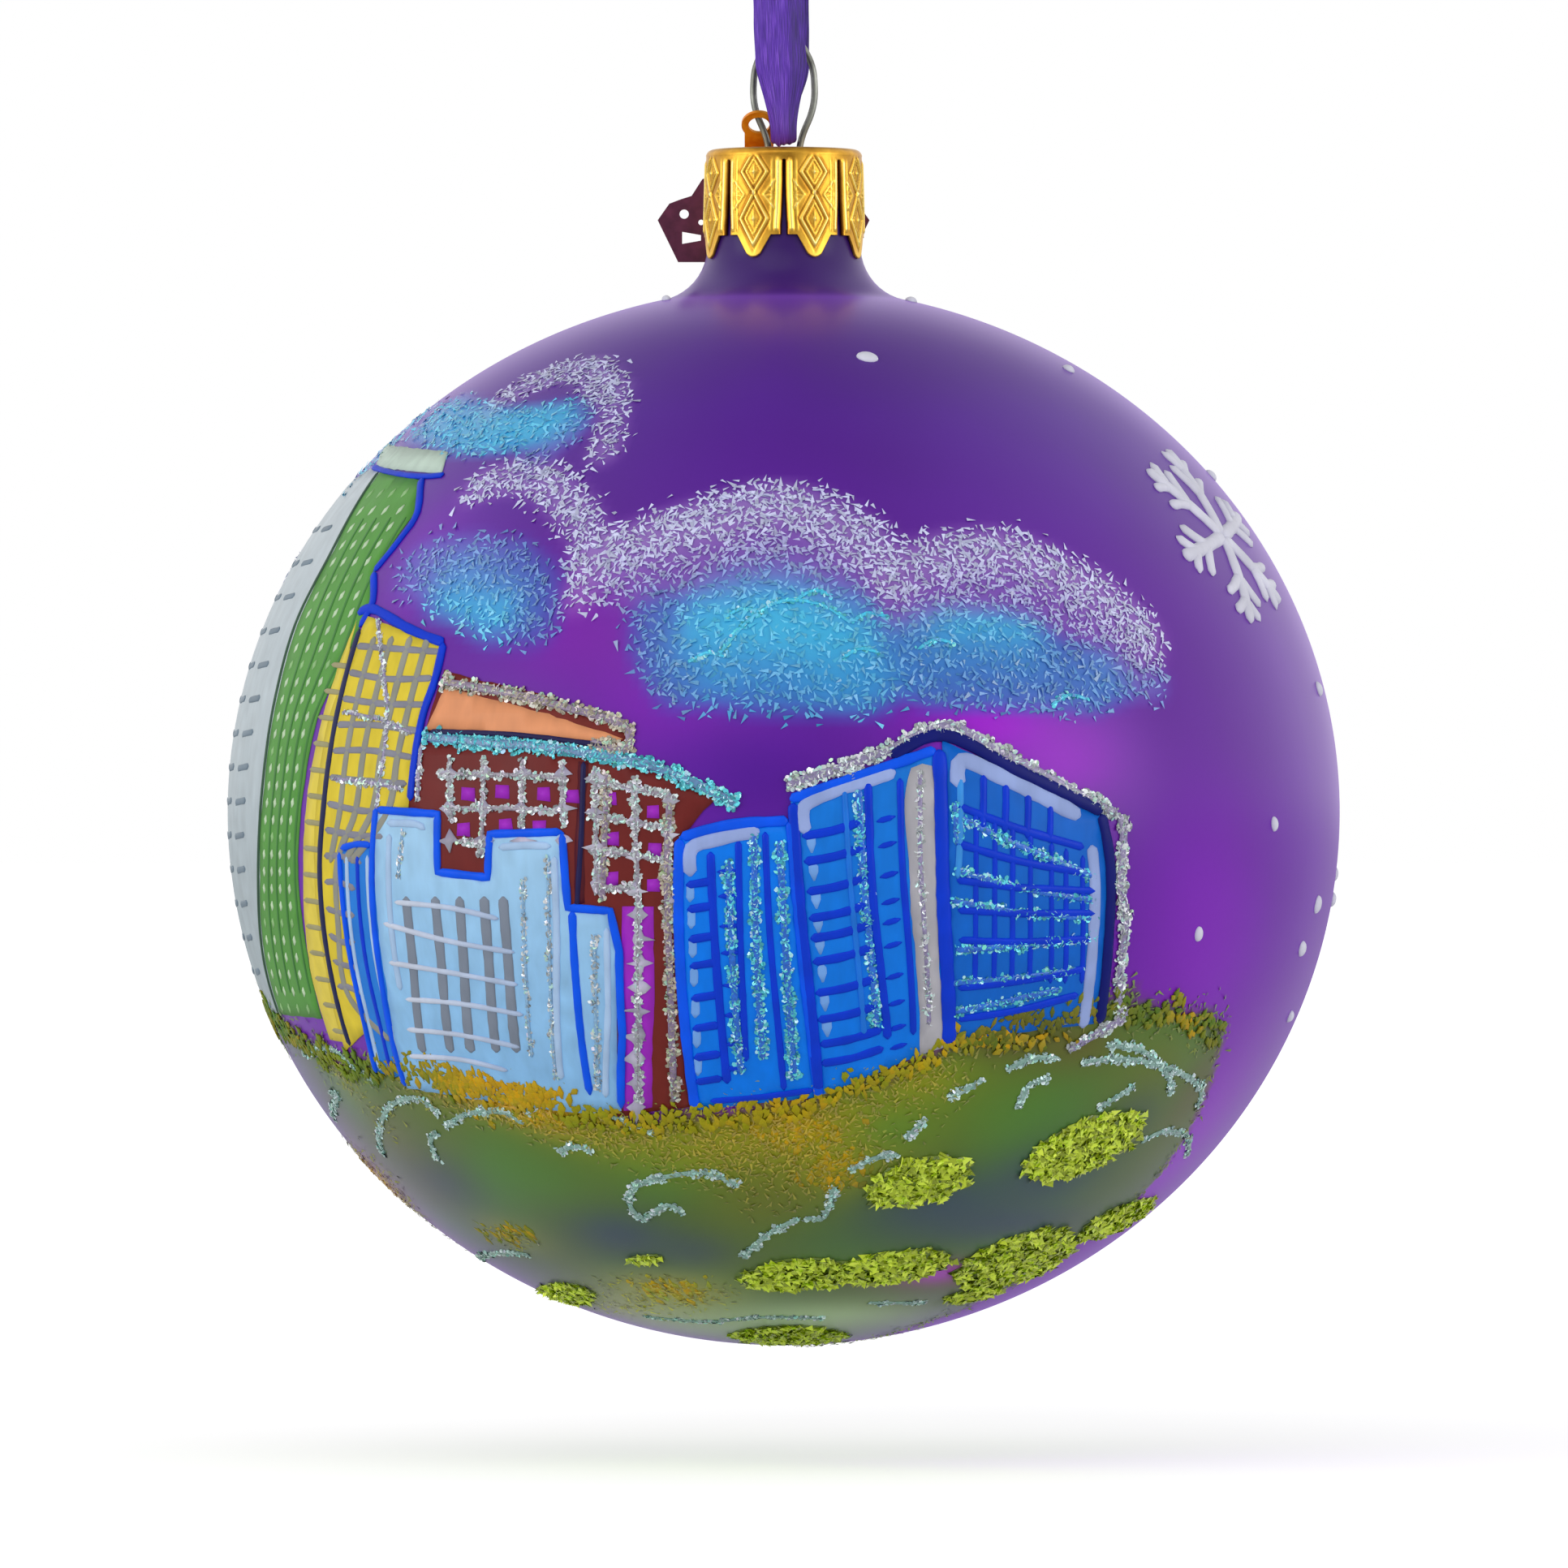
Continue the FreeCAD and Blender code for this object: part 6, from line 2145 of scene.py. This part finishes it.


# ----------------------------------------
# Wire and tag: a spring of bright steel wire, drawn and bent by hand, and a pierced brass tag. The
# tag's plate behind the cap is deep red, a painted reflection of the violet ball in the polished
# brass. Its strap and its eye are bare, and warm gold.


def refinish(node, material):
    """Gives a node of the solid model, whose shape is right, its own finish."""
    node.data.materials.clear()
    node.data.materials.append(material)


def drawn_steel():
    """Drawn wire: grey, a little tarnished, with fine lines along it from the die."""
    shade = Shade(bpy.data.materials.new("drawn_steel"))
    spot = shade.node("TexCoord", out=3)
    long_way = shade.node("Mapping", Vector=spot, Scale=(4000, 4000, 300))
    draw_lines = shade.node("TexNoise", Vector=long_way, Scale=1.0, Detail=3.0)
    tarnish = shade.node("TexNoise", Vector=spot, Scale=500.0, Detail=3.0)
    return shade.surface(
        Base_Color=shade.ramp(tarnish, (0.3, (104, 104, 98)), (0.7, (158, 160, 152))),
        Metallic=0.9,
        Roughness=0.28 + 0.2 * draw_lines,
        Normal=shade.node("Bump", Strength=0.2, Distance=0.00002, Height=draw_lines),
    )


def brass_with_painted_reflection():
    """Thin brass: a plate up to the cap's top, deep red as a painted reflection of the violet ball,
    and a warm gold strap and eye above it.
    """
    shade = Shade(bpy.data.materials.new("brass_with_painted_reflection"))
    spot = shade.node("TexCoord", out=3)
    height = shade.node("SeparateXYZ", out=2, Vector=spot)
    facing = shade.node("SeparateXYZ", out=1, Vector=shade.node("NewGeometry", out=1))
    flat_face = facing.maths("ABSOLUTE", facing).within(0.8, 0.9)
    plate = flat_face * (1 - height.within(cap_high.z, cap_high.z + 0.0003))
    wear = shade.node("TexNoise", Vector=spot, Scale=900.0, Detail=4.0)
    bare = shade.ramp(wear, (0.3, (220, 122, 10)), (0.7, (250, 172, 46)))
    # Painted reflection: the violet ball as it would show in the polished plate, given as deep red
    # on the faces that look front and back.
    red = shade.ramp(wear, (0.3, (84, 28, 60)), (0.7, (112, 42, 78)))
    return shade.surface(
        Base_Color=shade.blend(plate, bare, red),
        Metallic=0.5 - 0.3 * plate,
        Roughness=0.3 + 0.15 * wear,
        Normal=shade.node("Bump", Strength=0.2, Distance=0.00002, Height=wear),
    )


refinish(frame["nodes"]["wire_hanger"], drawn_steel())
refinish(frame["nodes"]["hang_tag"], brass_with_painted_reflection())
